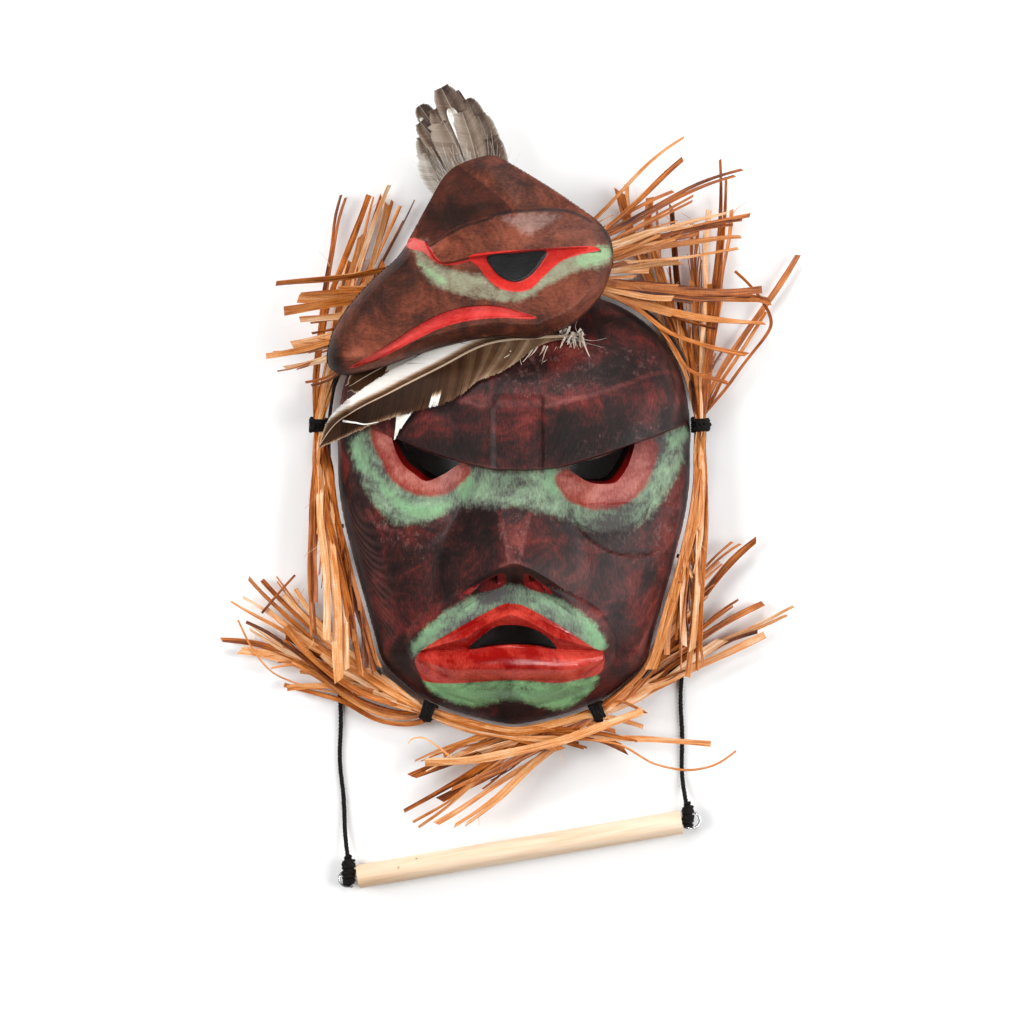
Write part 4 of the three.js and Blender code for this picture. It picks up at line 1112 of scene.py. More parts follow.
# Bundles of split bark. Each has its neck, its direction and two fans: the height of the tips, how many
# shorter strips fill the fan, and the tips as seen from the front (x, y, width, and bend to the left over
# length). Lines are strips with a course of their own: height, width, shade and points.
bark = {
    "thick": (0.45, 0.85), "neckWidth": 2.6, "sections": 24,  # of a strip
    "roll": 20, "sway": 0.09,  # how unevenly strips turn over and bend
    "split": 0.3, "tapered": 0.3,  # shares of the strips
    "fillReach": (0.55, 0.97), "fillWidth": (0.7, 2.05),  # filling strips: length, and root of the width
    "splinters": 44, "splinterReach": (5, 22),  # count for a bundle, and length
    "beside": 1.5, "lowest": 1.5, "highest": 33,  # gap to the mask's side, and the heights allowed
}
bundles = {
    "left": {
        "neck": (-132, 43, 14), "direction": (0.03, 1),
        "fans": [
            (28, 28, [
                (-133.3, -107, 4, 0), (-124.7, -101, 5, 0.02), (-116.7, -128.3, 7, 0.02),
                (-112, -121, 5, 0.03), (-108, -101, 5, 0.03), (-103.3, -125, 7, 0.04),
                (-98.7, -119.7, 5, 0.05), (-93.3, -122.3, 7, 0.06), (-96, -107.7, 4, 0.06),
                (-87.3, -116.3, 3, 0.07),
            ]),
            (9, 20, [
                (-111.3, 203, 4.5, 0), (-96.7, 195.7, 4, 0), (-93.3, 194.3, 3, 0), (-83.3, 202.3, 4, 0.02),
                (-80.7, 191.7, 3.5, 0), (-66.7, 193, 4, -0.02), (-88, 193.7, 4, 0.01), (-76, 188.3, 2.5, 0),
                (-102.7, 168.3, 5, 0), (-109.3, 151, 9, 0.03),
            ]),
        ],
    },
    "right": {
        "neck": (125.5, 43, 22), "direction": (-0.02, 1),
        "fans": [
            (28, 28, [
                (85.3, -113.7, 7, -0.05), (91.3, -114.3, 6, -0.05), (96.7, -106.3, 4, -0.04),
                (102.7, -111, 4, -0.03), (111.3, -127, 6, -0.02), (116, -125.7, 4, -0.02),
                (123.3, -124.3, 4, 0), (126, -117.7, 2, 0), (118.7, -107.7, 5, 0), (108, -101, 5, -0.02),
            ]),
            (9, 28, [
                (70.7, 198.3, 6, 0.05), (74.7, 202.3, 3, 0.06), (90, 193.7, 5, 0.04), (95.3, 188.3, 3, 0.03),
                (105.3, 187, 5, 0.02), (120, 181, 4, 0.01), (128.7, 185.7, 5, 0), (139.3, 224.3, 6, -0.02),
                (145.3, 185.7, 2.5, 0), (189.3, 155.7, 4, 0), (134.7, 125.7, 7, 0), (128, 139, 6, 0),
            ]),
        ],
        "lines": [
            (14, 2.0, 0.25, [
                (124.7, 47), (132, 55.7), (142, 67.7), (154, 84.3), (168.7, 103), (171.3, 113),
                (165.3, 125.7), (156, 137), (147.3, 145),
            ]),
            (11, 2.4, 0.55, [(124, 45.7), (132.7, 60.3), (138.7, 72.3), (151.3, 91), (168, 117.7)]),
        ],
    },
    "top": {
        "neck": (-9, 143, 22), "direction": (1, 0.03),
        "fans": [
            (28, 32, [
                (-158.7, 136.3, 5, 0.02), (-144, 126.3, 6, 0.02), (-153.3, 118.3, 6, 0.03),
                (-165.3, 88.3, 4, 0.08), (-160, 89.7, 3, 0.1), (-158, 77.7, 3.5, 0.1), (-152.7, 80.3, 3, 0.1),
                (-146.7, 68.3, 3.5, 0.12), (-136, 83.7, 4, 0.1), (-148, 95.7, 5, 0.06),
                (-142.7, 112.3, 6, 0.05),
            ]),
            (28, 48, [
                (113.3, 233.7, 3, 0.03), (155.3, 212.3, 5, 0.02), (142, 183.7, 4, 0.01),
                (157.3, 183, 3, 0.03), (160.7, 179, 4, 0.03), (151.3, 167.7, 5, -0.02),
                (165.3, 133, 5, -0.04), (170.7, 124.3, 5, -0.02), (168, 128.3, 4, -0.03),
                (166.7, 110.3, 6.5, -0.02), (155.3, 89, 3, -0.05), (142, 69, 2.5, -0.06),
                (134, 105.7, 2, -0.04), (128, 125.7, 5, -0.03),
            ]),
        ],
    },
    "lower_left": {
        "neck": (-58, -150, 22), "direction": (1, -0.4),
        "fans": [
            (9, 36, [
                (-194.7, -99.7, 6, -0.06), (-188.7, -75, 3.5, 0.02), (-186, -85, 5, 0.04),
                (-180.7, -72.3, 3.5, 0.05), (-176.7, -59.7, 3.5, 0.07), (-168, -61, 3, 0.07),
                (-162, -55, 3.5, 0.08), (-151.3, -67, 7, 0.06), (-151.3, -133, 4, -0.1),
                (-182.7, -107.7, 6, -0.08), (-142.7, -122.3, 6, -0.08), (-122.7, -101, 7, 0),
            ]),
            (22, 20, [
                (87.3, -149, 5, 0.14), (86, -159, 5, 0.1), (82, -168.3, 6, 0.05), (74, -173, 5, 0.04),
                (57.3, -175.7, 4, 0.03), (30.7, -174.3, 6, 0.03),
            ]),
        ],
        "lines": [
            (24, 3.8, 0.7, [(-29.3, -159.7), (4, -166.3), (47.3, -166.3), (87.3, -167), (131.3, -170.3)]),
            (26, 1.5, 0.5, [
                (30.7, -166.3), (57.3, -168.3), (72.7, -171.7), (84, -178.3), (94, -183.7), (112.7, -187.7),
                (127.3, -186.3), (138, -182.3), (148, -175),
            ]),
            (12, 1.6, 0.05, [(-168, -83), (-160.7, -74.3), (-153.3, -65.7), (-146, -57.7)]),
            (9, 1.2, 0.6, [
                (-184, -87.7), (-174.7, -106.3), (-162.7, -121), (-149.3, -128.3), (-129.3, -134.3),
                (-109.3, -137),
            ]),
            (9, 3.5, 0.36, [
                (-52, -151.7), (-70.7, -157), (-92, -153.7), (-112.7, -142.3), (-130.7, -137), (-153.3, -131),
            ]),
            (12, 4, 0.5, [
                (-53.3, -149), (-73.3, -152.3), (-93.3, -148.3), (-113.3, -137.7), (-130.7, -125),
                (-148, -115.7),
            ]),
            (14, 3, 0.25, [
                (-54, -147), (-73.3, -149.7), (-94.7, -145), (-114.7, -133), (-134.7, -117), (-153.3, -101),
            ]),
            (16, 4.5, 0.42, [
                (-56, -145), (-77.3, -143.7), (-100, -137), (-120, -125), (-140, -107.7), (-152, -91.7),
            ]),
            (15, 2.5, 0.1, [
                (-54.7, -148.3), (-76, -149), (-98.7, -142.3), (-120, -130.3), (-138.7, -114.3),
                (-162.7, -97), (-178.7, -89),
            ]),
        ],
    },
    "lower_right": {
        "neck": (56.5, -150, 22), "direction": (1, 0.4),
        "fans": [
            (19, 20, [
                (-68, -183, 6, -0.06), (-68, -191.7, 7, -0.04), (-56, -187.7, 6, -0.04),
                (-41.3, -200.3, 5, 0), (-73.3, -215, 5, 0.02), (-66, -225, 4, 0.02), (-40, -228.3, 6, 0.04),
                (-49.3, -207.7, 6, 0),
            ]),
            (9, 32, [
                (150.7, -34.3, 3.5, 0.08), (161.3, -34.3, 6, 0.07), (143.3, -45, 4, 0.08),
                (166, -76.3, 5, 0.03), (188.7, -79.7, 6, 0.02), (167.3, -97.7, 5, 0.01),
                (150.7, -74.3, 5, 0.04), (138.7, -101, 6, 0.01), (124, -117, 6, -0.02),
            ]),
        ],
        "lines": [
            (30, 5.5, 0.75, [
                (-59.3, -182.3), (-29.3, -181), (-0.7, -175.7), (30.7, -168.3), (57.3, -159), (86, -148.3),
            ]),
            (24, 1.2, 0.9, [
                (-29.3, -182.3), (-41.3, -179), (-49.3, -173), (-60, -166.3), (-68, -167), (-70.7, -170.3),
            ]),
        ],
    },
}


# Keeps a path off the mask's side: what would lie inside it moves straight out past its edge
def besideMask(path, half):
    radius = np.hypot(path[:, 0], path[:, 1] - face["centreY"])
    least = faceRadius(path[:, 0], path[:, 1]) + bark["beside"] + half
    scale = np.where(radius < least, least / radius, 1)
    path[:, 0] *= scale
    path[:, 1] = face["centreY"] + (path[:, 1] - face["centreY"]) * scale
    path[1:-1] = 0.25 * path[:-2] + 0.5 * path[1:-1] + 0.25 * path[2:]
    return path


# One flat strip, or the two prongs of a split one
def stripParts(path, width, shade, split=0.0, taper=0.0, slant=0.0, neck=True):
    s = np.linspace(0, 1, len(path))
    t, u, v = frames(path)
    along = lengthsAlong(path)
    roll = np.radians(draws.normal(0, bark["roll"]) + draws.normal(0, 25) * s)[:, None]
    u, v = np.cos(roll) * u + np.sin(roll) * v, np.cos(roll) * v - np.sin(roll) * u
    begin = min(width, bark["neckWidth"]) if neck else width
    wide = begin + (width - begin) * ramp(along, 4, 30)
    wide = wide * (1 + 0.08 * np.sin(along / 9 + 20 * shade)) * (1 - taper * ramp(s, 0.6, 1))
    thick = draws.uniform(*bark["thick"]) * (0.6 + 0.08 * min(width, 6))
    cup = draws.uniform(-0.16, 0.16)
    corners = np.array([(-0.5, -1, 0), (0, -1, 1), (0.5, -1, 0), (0.5, 1, 0), (0, 1, 1), (-0.5, 1, 0)])
    parts = []
    for off, share in ((-0.25, 0.5), (0.25, 0.5)) if split else ((0, 1.0),):
        spread = off * (1 + split * ramp(s, 0.72, 1) ** 1.5) * wide
        middle = path + u * spread[:, None] + v * (0.5 * split * off * ramp(s, 0.8, 1))[:, None]
        reach = draws.uniform(0.9, 1) if split else 1
        middle = np.stack([np.interp(s * reach, s, part) for part in middle.T], axis=1)
        own = (share * wide)[:, None]
        ring = middle[:, None] + u[:, None] * (corners[:, 0] * own)[..., None]
        ring = ring + v[:, None] * (corners[:, 1] * thick / 2 + corners[:, 2] * cup * own)[..., None]
        ring[-1] += t[-1] * (slant * corners[:, :1] * own[-1])
        marks = {
            "shade": shade, "along": along[None] + 300 * shade,
            "across": (corners[:, 0] * own + off * wide[:, None])[None],
        }
        parts.append((ring[None], marks))
    return parts


# Thin splinters that stand off the strips, none over the mask
def splinterParts(paths):
    lines = []
    for _ in range(bark["splinters"]):
        path = paths[draws.integers(len(paths))]
        i = draws.integers(len(path) // 3, len(path) - 1)
        ahead = unit(path[i] - path[i - 1])
        side = leftOf(ahead) * draws.choice([-1, 1])
        reach = draws.uniform(*bark["splinterReach"])
        s = np.linspace(0, 1, 6)[:, None]
        end = path[i] + ahead * reach
        if np.hypot(end[0], end[1] - face["centreY"]) < faceRadius(end[0], end[1]) + 8:
            continue
        curl = side * draws.uniform(0.1, 0.8) * reach * s ** 2 + np.array([0, 0, draws.uniform(0, 3)]) * s
        lines.append(path[i] + ahead * reach * s * draws.uniform(0.5, 1) + curl)
    rings = tubeRings(np.array(lines), draws.uniform(0.12, 0.3) * np.linspace(1, 0.35, 6), 4)
    shade = draws.uniform(0.4, 1, len(lines))
    return [(rings, {"shade": shade, "along": shade * 50, "across": shade * 3})]


# A strip's course: from the neck along the bundle, then in a curve to its tip
def fanPath(plan, sign, tip, level, width, bend):
    side, lift = draws.uniform(-2.4, 2.4), draws.uniform(-2.2, 2.2)
    ahead = unit(np.array([*plan["direction"], 0.0]))
    start = np.array(plan["neck"], float) + leftOf(ahead) * side + [0, 0, lift]
    z = level + lift * 1.3
    end = np.array([*placed(tip[0], tip[1], z), z])
    span = (end - start) * [1, 1, 0]
    swell = leftOf(ahead) * side * 1.7
    first = start + ahead * sign * np.linalg.norm(span) * 0.24 + span * 0.1 + swell
    second = end - span * 0.34 + leftOf(span) * (bend + draws.normal(0, 0.012))
    s = np.linspace(0, 1, bark["sections"])[:, None]
    path = (1 - s) ** 3 * start + 3 * (1 - s) ** 2 * s * first + 3 * (1 - s) * s ** 2 * second + s ** 3 * end
    s = s[:, 0]
    rise = ramp(s, 0.05, 0.4)
    kink = draws.uniform(0.3, 0.85)
    aside = draws.normal(0, bark["sway"]) * (np.maximum(s - kink, 0) - s * (1 - kink))
    aside += draws.normal(0, 0.004) * np.sin(s * draws.uniform(9, 20)) * s
    path += leftOf(span) * aside[:, None]
    path[:, 2] = start[2] + (end[2] - start[2]) * (3 - 2 * rise) * rise ** 2 + 0.5 * np.sin(s * 9 + side) * s
    path = besideMask(path, width / 2)
    path[:, 2] = np.clip(path[:, 2], bark["lowest"], bark["highest"])
    return path


def bindBundle(name, plan):
    parts, paths = [], []
    root = np.array(seen(*plan["neck"]))
    for sign, (level, fill, tips) in zip((-1, 1), plan["fans"]):
        tips = list(tips)
        for _ in range(fill):  # shorter, narrower strips between the long ones
            k = draws.integers(len(tips) - 1)
            tip = np.array(tips[k]) + (np.array(tips[k + 1]) - np.array(tips[k])) * draws.uniform(0, 1)
            spot = root + (tip[:2] - root) * draws.uniform(*bark["fillReach"])
            tips.append((*spot, draws.uniform(*bark["fillWidth"]) ** 2, tip[3] + draws.normal(0, 0.035)))
        for x, y, width, bend in tips:
            path = fanPath(plan, sign, (x, y), level, width, bend)
            paths.append(path)
            split = draws.uniform(0.5, 2.2) if width > 3 and draws.random() < bark["split"] else 0.0
            taper = draws.uniform(0.2, 0.7) if draws.random() < bark["tapered"] else 0.0
            parts += stripParts(path, width, draws.beta(1.4, 1.6), split, taper, draws.normal(0, 0.6))
    for level, width, shade, points in plan.get("lines", []):
        line = smoothLine(points, 40)
        x, y = placed(line[:, 0], line[:, 1], level)
        path = np.stack([x, y, level + 0.8 * np.sin(np.linspace(0, 5, 40))], axis=1)
        parts += stripParts(besideMask(path, width / 2), width, shade, neck=False)
    parts += splinterParts(paths)
    loftPiece("split_bark_" + name, parts, barkMaterial, ["bark_bundle_" + name], 40)


barkMaterial = cedarBark()
for name, plan in bundles.items():
    bindBundle(name, plan)
print("bark bundles bound")

# Ties: two layers of yarn wound round each bundle's neck and the hoop
tie = {"turns": 6, "length": 9, "neck": 5.2, "hoop": 2.4, "size": 0.62, "layers": (0, 0.5), "crossed": 1.3}


def windTie(name, plan):
    ahead = unit(np.array([*plan["direction"], 0.0]))
    across = leftOf(ahead)
    neck = np.array(plan["neck"], float)
    ring = hoopPoint(np.array(math.atan2(neck[1] - face["centreY"], neck[0])))
    gap = np.array([(ring - neck) @ across, ring[2] - neck[2]])

    def wound(turn, lift, pace):  # over whichever of neck and hoop lies further out
        out = np.stack([np.cos(turn), np.sin(turn)], axis=1)
        onHoop = (out @ gap + tie["hoop"] > tie["neck"])[:, None]
        spot = np.where(onHoop, gap + out * (tie["hoop"] + lift), out * (tie["neck"] + lift))
        return neck + across * spot[:, :1] + np.array([0, 0, 1]) * spot[:, 1:] + ahead * pace[:, None]

    parts = []
    turn = np.linspace(0, 2 * math.pi * tie["turns"], 40 * tie["turns"] + 1)
    for layer in tie["layers"]:
        pace = (turn / turn[-1] - 0.5) * tie["length"] * (1 - 0.3 * layer)
        parts += yarnParts(wound(turn, layer, pace + 0.5 * np.sin(turn * 0.9 + layer * 9)), tie["size"], 0.25)
    turn = np.linspace(0.5, 2 * math.pi - 0.5, 60)
    for slant in (-1, 1):  # a crossed turn over the winding
        pace = slant * (turn / math.pi - 1) * tie["length"] * 0.4
        parts += yarnParts(wound(turn, tie["crossed"], pace), tie["size"], 0.4)
    turn = np.linspace(0, 2 * math.pi, 60)
    loop = np.stack([2.6 * np.cos(turn), 1.7 * np.sin(2 * turn), 0.7 * np.sin(3 * turn)], axis=1)
    parts += yarnParts(neck + np.array([0, 0, tie["neck"] + 1.4]) + loop, tie["size"], 0.4)
    core = neck + ahead * (np.linspace(-1, 1, 6) * (tie["length"] / 2 - 0.8))[:, None]
    parts.append((tubeRings(core, tie["neck"] - 0.5, 20)[None], {"tone": 0}))
    loftPiece("yarn_wraps_" + name, parts, wool, ["yarn_tie_" + name])


for name, plan in bundles.items():
    windTie(name, plan)
print("ties wound")


# Feather: barbs locked into a vane, coloured by the tone mark, with a soft low gloss. Flecks are 6 mm
# across, and the barbules of 0.03 mm are drawn at 0.5 mm, the finest that shows.
def featherVane(name, stops):
    material, tree, shader = newMaterial(name, Roughness=0.6, IOR=1.35)
    where = addNode(tree, "TexCoord", out=3)
    tone = addNode(tree, "Attribute", out=2, attribute_name="tone")
    flecks = addNode(tree, "TexNoise", {"Vector": where, "Scale": 160, "Detail": 4, "Roughness": 0.7})
    barbules = addNode(tree, "TexNoise", {"Vector": where, "Scale": 2200, "Detail": 2})
    mixed = addNode(tree, "Math", {0: flecks, 1: 0.12, 2: tone}, operation="MULTIPLY_ADD")
    mixed = addNode(tree, "Math", {0: barbules, 1: 0.08, 2: mixed}, operation="MULTIPLY_ADD")
    mixed = addNode(tree, "Math", {0: mixed, 1: 0.1}, operation="SUBTRACT")
    colour = addNode(tree, "ValToRGB", {"Fac": mixed}, stops=stops)
    wear(tree, shader, colour, None, barbules, 0.0001)
    return material


# Feathers: a shaft, and rows of barbs that lean to the tip
feathers = {
    "spacing": 0.7, "thick": 0.14, "roll": 14, "sections": 6,  # of the barbs
    "down": 60,  # loose fibres at the foot of a crest feather
    "brown": [
        (0.06, "#1a0e06"), (0.2, "#382112"), (0.36, "#543823"), (0.5, "#7f624a"), (0.66, "#bd9f82"),
        (0.8, "#e3d9cd"), (0.94, "#fbf8f1"),
    ],
    "grey": [
        (0.06, "#33241b"), (0.25, "#5f4b3e"), (0.45, "#877667"), (0.62, "#a6998c"), (0.8, "#cfc8bf"),
        (0.94, "#f5f3ef"),
    ],
}
# The long feather lies over the small one. Vane widths and tone run from the quill (0) to the tip (1).
longFeather = {
    "tongue": 30, "barbs": 20, "frayed": 24,  # loose fibres of each kind
    "path": [
        (40, 101, 2.2), (14, 100, 2.8), (-18.5, 95.4, 3.6), (-50, 79, 4), (-81.6, 62.6, 5), (-98, 55, 5),
        (-114.4, 46.6, 4.5), (-122.5, 39, 3), (-129.5, 29, 1),
    ],
    "low": [
        (0, 0.6), (0.12, 6), (0.25, 22), (0.33, 24), (0.53, 22), (0.73, 16), (0.83, 14.5), (0.92, 11), (1, 2),
    ],
    "high": [(0, 0.6), (0.2, 8), (0.33, 13), (0.53, 14), (0.73, 12.5), (0.83, 9), (0.91, 5), (1, 0.6)],
    "tone": [(0, 0.5), (0.2, 0.46), (0.33, 0.38), (0.45, 0.25), (0.6, 0.14), (0.8, 0.12), (1, 0.22)],
    "slit": [(-114, 45, 4.5), (-105, 43.4, 5), (-98, 42, 5.5), (-89, 43.4, 5)],
}
smallFeather = {
    "path": [(-50, 98, 1.0), (-62, 95, 1.4), (-84, 82, 1.5), (-110, 68, 2)],
    "low": [(0, 1.5), (0.4, 7), (0.9, 8), (1, 3)],
    "high": [(0, 1.5), (0.4, 8), (0.9, 7), (1, 2)],
}
# Crest: each feather's root, its bow, and its vanes by their tips: x, y, height, half width, tone
crest = [
    ((-23, 190), -0.05, [
        (-48.7, 267.7, 37, 9, 0.32), (-43.3, 254.3, 38, 4, 0.9), (-34.7, 251, 38.6, 8, 0.5),
    ]),
    ((-29, 188), -0.05, [
        (-63.3, 256.3, 33, 7, 0.22), (-63.3, 249, 33.8, 1.8, 0.96), (-62.7, 245, 34.2, 7, 0.28),
    ]),
    ((-24, 184), -0.05, [(-51.3, 254.3, 35, 9.5, 0.28), (-47.3, 245, 36.2, 13, 0.46)]),
    ((-10, 190), -0.05, [
        (-38.7, 268.3, 30, 2, 0.34), (-32, 261, 30.6, 7, 0.34), (-24, 249.7, 31.2, 8, 0.44),
        (-16.7, 234.3, 31.8, 8, 0.32),
    ]),
    ((-33, 184), 0.06, [(-61.3, 236.3, 28, 7, 0.5), (-58.7, 225, 28.6, 9, 0.68)]),
]


# One side of a feather. Its barbs leave the shaft at the lean in degrees, and clumps part a little.
def vanePart(path, side, widths, bed, toneAt, clumps, lean):
    line, along = evenPath(smoothLine(path, 200), feathers["spacing"])
    ahead = unit(np.gradient(line, axis=0) * [1, 1, 0])
    across = np.stack([-ahead[:, 1], ahead[:, 0], 0 * along], axis=1) * side
    t0 = along / along[-1]
    slope = 1 / math.tan(math.radians(lean))
    wide = valueAt(widths, t0)
    for _ in range(6):
        wide = valueAt(widths, np.minimum(t0 + 0.8 * slope * wide / along[-1], 1))
    group = np.floor(t0 * clumps + 0.6 * np.sin(t0 * clumps * 0.7))
    wide = wide * (0.98 + 0.04 * np.sin(group * 12.9898)) * draws.uniform(0.96, 1.02, len(t0))
    s = np.linspace(0, 1, feathers["sections"])
    forward = slope * wide[:, None] * (0.75 * s + 0.25 * s ** 2) * (1 + 0.025 * np.sin(group * 78.2))[:, None]
    outward = wide[:, None] * s
    spots = line[:, None] + across[:, None] * outward[..., None] + ahead[:, None] * forward[..., None]
    spots[..., 2] += 0.8 * np.sin(s * 2.2) - 0.5 * s + 0.12 * np.sin(group * 5.1)[:, None]
    spots[..., 2] += bed(spots[..., 0], spots[..., 1])
    _, u, v = frames(spots)
    half = feathers["spacing"] * math.sin(math.radians(lean)) * 0.72 * (1 - 0.55 * s ** 3)
    roll = math.radians(feathers["roll"])
    u, v = math.cos(roll) * u + math.sin(roll) * v, math.cos(roll) * v - math.sin(roll) * u
    thick = feathers["thick"] / 2
    corners = [(-1, -1), (1, -1), (1, 1), (-1, 1)]
    rings = np.stack([spots + u * (a * half)[:, None] + v * (b * thick) for a, b in corners], axis=2)
    tone = toneAt(t0[:, None], s[None], wide[:, None]) + draws.normal(0, 0.025, len(t0))[:, None]
    return rings[wide > 0.8], {"tone": tone[wide > 0.8]}


def shaftPart(path, bed, radius, tone):
    line, along = evenPath(smoothLine(path, 200), 2.5)
    line[:, 2] += bed(line[:, 0], line[:, 1]) + 0.5
    return tubeRings(line, radius * (1 - 0.75 * along / along[-1]), 8)[None], {"tone": tone}


# Loose fibres that curl away from their roots
def fluffPart(roots, directions, lengths, curl, radius, tone):
    s = np.linspace(0, 1, 7)[None, :, None]
    bend = unit(draws.normal(0, 1, (len(roots), 3)) + [0, 0, 0.3])[:, None] * curl
    reach = np.asarray(lengths)[:, None, None]
    lines = roots[:, None] + reach * (unit(directions)[:, None] * s + bend * s ** 2)
    return tubeRings(lines, radius * np.linspace(1, 0.4, 7), 3), {"tone": tone}


def onForehead(x, y):
    return np.maximum(forehead(x, y), 38)


# Tones of the vanes, from 0 dark to 1 white, by the place along the shaft, the place out from it and width
def lowTone(t, s, wide):
    tone = valueAt(longFeather["tone"], t) + 0.06 * np.sin(t * 90) * (t < 0.45)
    tone = tone + (0.12 + 0.4 * (t > 0.62)) * ramp(-wide * (1 - s), -1, -0.2)
    notch = (t > 0.47) & (t < 0.505) & (s > 0.74)
    return np.where(notch, 0.95, tone)


def highTone(t, s, wide):
    white = ramp(s * wide, 2, 5.5) * ramp(-t, -0.92, -0.86)
    return 0.3 + 0.65 * white + 0.4 * ramp(-wide * (1 - s), -1, -0.2) * (t > 0.8)


def tipTone(t, s, wide):
    return np.where(t < 0.52 + 0.05 * np.sin(s * 5), 0.86, 0.26) + 0.5 * ramp(-wide * (1 - s), -0.8, -0.1)


def layLongFeather():
    path = longFeather["path"]
    tongue, barbs, count = longFeather["tongue"], longFeather["barbs"], longFeather["frayed"]
    parts = [
        vanePart(path, 1, longFeather["low"], onForehead, lowTone, 14, 52),
        vanePart(path, -1, longFeather["high"], onForehead, highTone, 16, 30),
        shaftPart(path, onForehead, 1.1, 0.68),
        shaftPart(longFeather["slit"], onForehead, 0.8, 0.97),
    ]
    x = draws.uniform(-77, -65, tongue)  # a white tongue under the lower edge
    roots = np.column_stack([x, 49 + 0.35 * (x + 77), onForehead(x, 49 + 0 * x) + 2.5])
    toward = np.array([-78.5, 32, 0]) - roots * [1, 1, 0] + [0, 0, 1]
    parts.append(fluffPart(roots, toward, draws.uniform(12, 18, tongue), 0.04, 0.75, 0.97))
    x = draws.uniform(-12, 30, barbs)  # loose barbs below the quill
    roots = np.column_stack([x, 97 - 0.12 * np.abs(x), onForehead(x, 97 + 0 * x) + 2])
    down = np.tile([-0.45, -1, 0.5], (barbs, 1))
    parts.append(fluffPart(roots, down, draws.uniform(12, 28, barbs), 0.35, 0.7, 0.72))
    x, y = draws.uniform(30, 46, count), 103 + draws.uniform(-4, 5, count)  # the frayed quill end
    roots = np.column_stack([x, y, onForehead(x, y) + draws.uniform(1, 5, count)])
    frayed = np.column_stack([draws.uniform(-0.6, 0.5, count), -1 + 0 * x, 0.45 + 0 * x])
    parts.append(fluffPart(roots, frayed, draws.uniform(5, 12, count), 0.3, 1.0, 0.74))
    wild = draws.normal(0, 0.5, (count, 3)) * [1, 1, 0.3] + [0.3, -0.8, 0.6]
    parts.append(fluffPart(roots, wild, draws.uniform(7, 15, count), 0.9, 0.18, 0.85))
    loftPiece("long_feather", parts, brownVane, ["feather_long"], 40)


def laySmallFeather():
    path = smallFeather["path"]
    parts = [
        vanePart(path, 1, smallFeather["low"], onForehead, tipTone, 9, 48),
        vanePart(path, -1, smallFeather["high"], onForehead, tipTone, 9, 48),
        shaftPart(path, onForehead, 0.7, 0.7),
    ]
    loftPiece("small_feather", parts, brownVane, ["feather_small"], 40)


# A crest vane's tone: one side paler at its edge, streaks that differ with the tip, a darker end
def crestTone(x, y, tone, side):
    def shade(t, s, wide):
        # the pale edge is partly the vane's own margin and partly a painted highlight; the darker other vane
        # is painted shade
        pale = 0.2 * ramp(s, 0.6, 1) * ramp(t, 0.3, 0.6) * (side > 0)
        streak = 0.05 * np.sin(t * 11 + x) * s + 0.02 * np.sin(t * 41 + y) + 0.07 * np.sin(s * 8 + x)
        return tone + pale + streak - 0.16 * ramp(t, 0.9, 1) - 0.1 * (side < 0)

    return shade


def flatBed(x, y):
    return 0 * x


def layCrestFeather(number, root, bow, vanes):
    parts = []
    for x, y, z, wide, tone in vanes:
        start, tip = np.array([*root, z - 4.0]), np.array([x, y, z])
        own = [start, start + 0.55 * (tip - start) + leftOf(tip - start) * bow, tip]
        shares = [(0.3, 0.7), (0.6, 1), (0.84, 1), (0.92, 0.88), (0.97, 0.64), (1, 0.08)]
        widths = [(0, 2)] + [(place, share * wide) for place, share in shares]
        for side in (1, -1):
            parts.append(vanePart(own, side, widths, flatBed, crestTone(x, y, tone, side), 7, 60))
        parts.append(shaftPart(own, flatBed, 0.4, 0.7))
    count = feathers["down"]
    base = np.array([*root, vanes[0][2] - 3]) + draws.normal(0, 1, (count, 3)) * [6, 5, 1.2]
    toward = np.array([*vanes[-1][:3]]) - base + draws.normal(0, 7, (count, 3)) * [1, 1, 0.2]
    parts.append(fluffPart(base, toward, draws.uniform(16, 42, count), 0.25, 0.2, 0.84))
    loftPiece("grey_feather_%d" % number, parts, greyVane, ["crest_feather_%d" % number], 40)


brownVane = featherVane("brown_wing_feather", feathers["brown"])
greyVane = featherVane("grey_down_feather", feathers["grey"])
layLongFeather()
laySmallFeather()
for number, (root, bow, vanes) in enumerate(crest, 1):
    layCrestFeather(number, root, bow, vanes)
print("feathers placed")


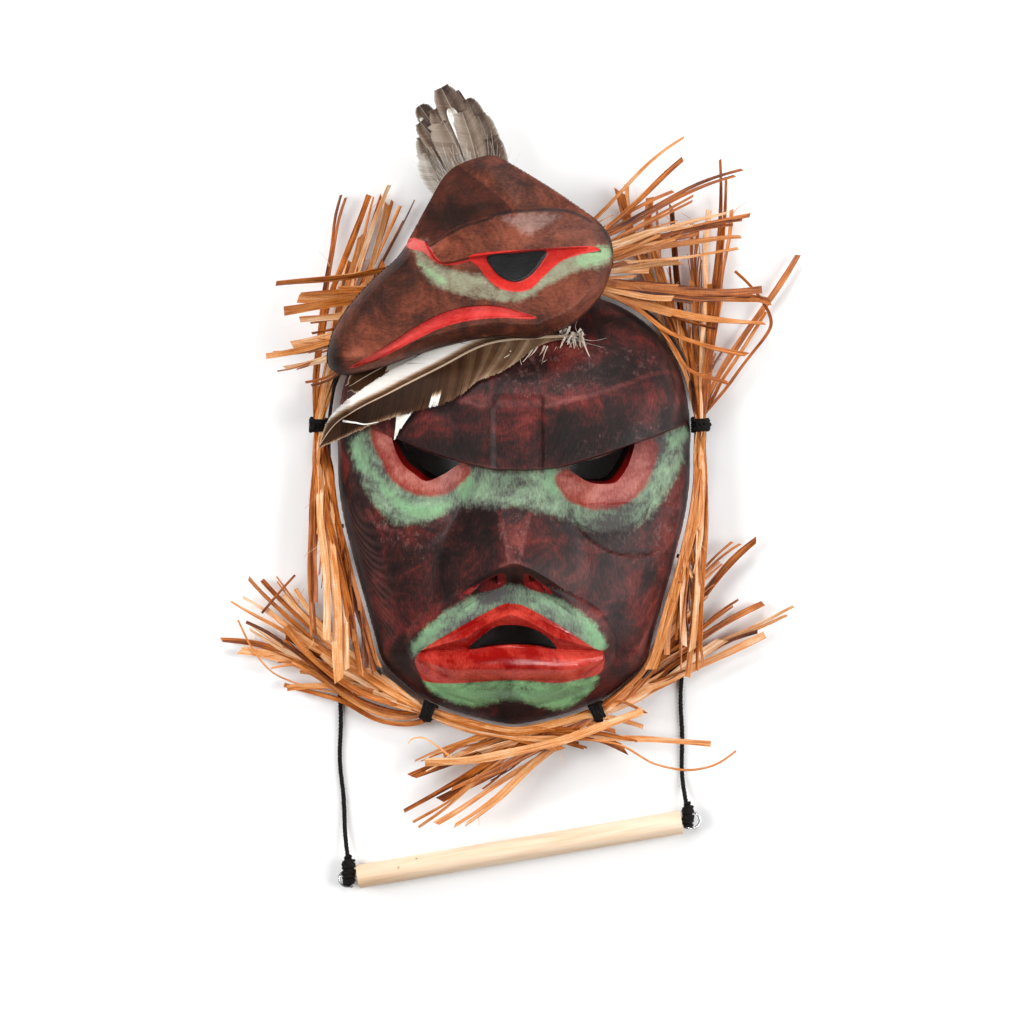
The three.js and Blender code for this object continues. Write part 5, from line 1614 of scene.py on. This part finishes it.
# Turned birch: planed smooth, pale straw with darker pores 1 mm wide drawn out along the dowel, broad
# bands of 10 mm and two brown knots 3 mm across
def turnedBirch(angle, spots):
    material, tree, shader = newMaterial("turned_birch", IOR=1.5)
    where = addNode(tree, "TexCoord", out=3)
    square = addNode(tree, "Mapping", {"Vector": where, "Rotation": (0, 0, -angle)})
    drawn = addNode(tree, "Mapping", {"Vector": square, "Scale": (28, 900, 900)})
    pores = addNode(tree, "TexNoise", {"Vector": drawn, "Scale": 1, "Detail": 4, "Roughness": 0.7})
    wide = addNode(tree, "Mapping", {"Vector": square, "Scale": (9, 90, 90)})
    bands = addNode(tree, "TexNoise", {"Vector": wide, "Scale": 1, "Detail": 3, "Distortion": 0.6})
    tone = addNode(tree, "Math", {0: pores, 1: 0.45, 2: bands}, operation="MULTIPLY_ADD")
    for place, radius in spots:
        away = addNode(tree, "VectorMath", {0: where, 1: place}, out=1, operation="DISTANCE")
        reach = {0: away, 1: 0, 2: radius, 3: 0.5, 4: 0}
        dark = addNode(tree, "MapRange", reach, interpolation_type="SMOOTHSTEP")
        tone = addNode(tree, "Math", {0: tone, 1: dark}, operation="SUBTRACT")
    stops = [(0.3, "#a97a4a"), (0.52, "#dfbc98"), (0.72, "#eed2b4"), (0.95, "#f7e4ce")]
    colour = addNode(tree, "ValToRGB", {"Fac": tone}, stops=stops)
    gloss = addNode(tree, "MapRange", {0: pores, 1: 0.3, 2: 0.7, 3: 0.6, 4: 0.48})
    wear(tree, shader, colour, gloss, pores, 0.00012)
    return material


# Drawn steel wire with a bright zinc finish, its fine draw marks 0.3 mm apart
def brightWire():
    material, tree, shader = newMaterial("zinc_plated_steel_wire", Metallic=1.0)
    where = addNode(tree, "TexCoord", out=3)
    marks = addNode(tree, "TexNoise", {"Vector": where, "Scale": 3000, "Detail": 2})
    colour = addNode(tree, "ValToRGB", {"Fac": marks}, stops=[(0.3, "#a9abae"), (0.7, "#d3d5d8")])
    gloss = addNode(tree, "MapRange", {0: marks, 1: 0.3, 2: 0.7, 3: 0.32, 4: 0.18})
    wear(tree, shader, colour, gloss, marks, 0.00003)
    return material


# The birch dowel, with a screw eye in each end
dowel = {
    "left": (-106, -263, 7.95), "right": (113.6, -225.9, 7.95), "radius": 7.95, "ease": 0.8,
    "ring": 5.4, "wire": 0.8, "shank": (0.3, 2.2),  # a screw eye: radii, and the shank's reach
    "knots": [((-78, -256, 15), 0.0016), ((-66, -250, 13), 0.0013)],  # places, and radii in metres
}
angle = math.atan2(dowel["right"][1] - dowel["left"][1], dowel["right"][0] - dowel["left"][0])
rod = addRod(dowel["left"], dowel["right"], dowel["radius"], dowel["ease"])
spots = [(tuple(c / 1000 for c in place), radius) for place, radius in dowel["knots"]]
finishPiece(rod, "birch_rod", turnedBirch(angle, spots), ["dowel"], 40)
wire = brightWire()
for side, sign in (("left", -1), ("right", 1)):
    out = sign * np.array([math.cos(angle), math.sin(angle), 0])
    end = np.array(dowel[side])
    eye = addRod(*(end + out * reach for reach in dowel["shank"]), dowel["wire"] * 1.1, 0.15)
    centre = (end + out * (dowel["ring"] + 1.8)) / 1000
    bpy.ops.mesh.primitive_torus_add(
        location=centre, major_segments=64, minor_segments=14,
        major_radius=dowel["ring"] / 1000, minor_radius=dowel["wire"] / 1000,
    )
    ring = bpy.context.object
    bpy.ops.object.transform_apply(location=True, rotation=True, scale=True)
    cut(eye, ring, "UNION")
    finishPiece(eye, "wire_eye_" + side, wire, ["screw_eye_" + side], 40)
print("dowel and eyes placed")

# Floor of matt white paper, just under the part, in metres
paperSize, paperDrop = 8, 0.0002
bpy.ops.mesh.primitive_plane_add(size=paperSize, location=(0, 0, -paperDrop))
floor = bpy.context.object
floor.name = "floor"
paper, tree, shader = newMaterial("matt_white_paper", Roughness=0.9)
shader.inputs["Base Color"].default_value = toLinear("#fafafa")
floor.data.materials.append(paper)
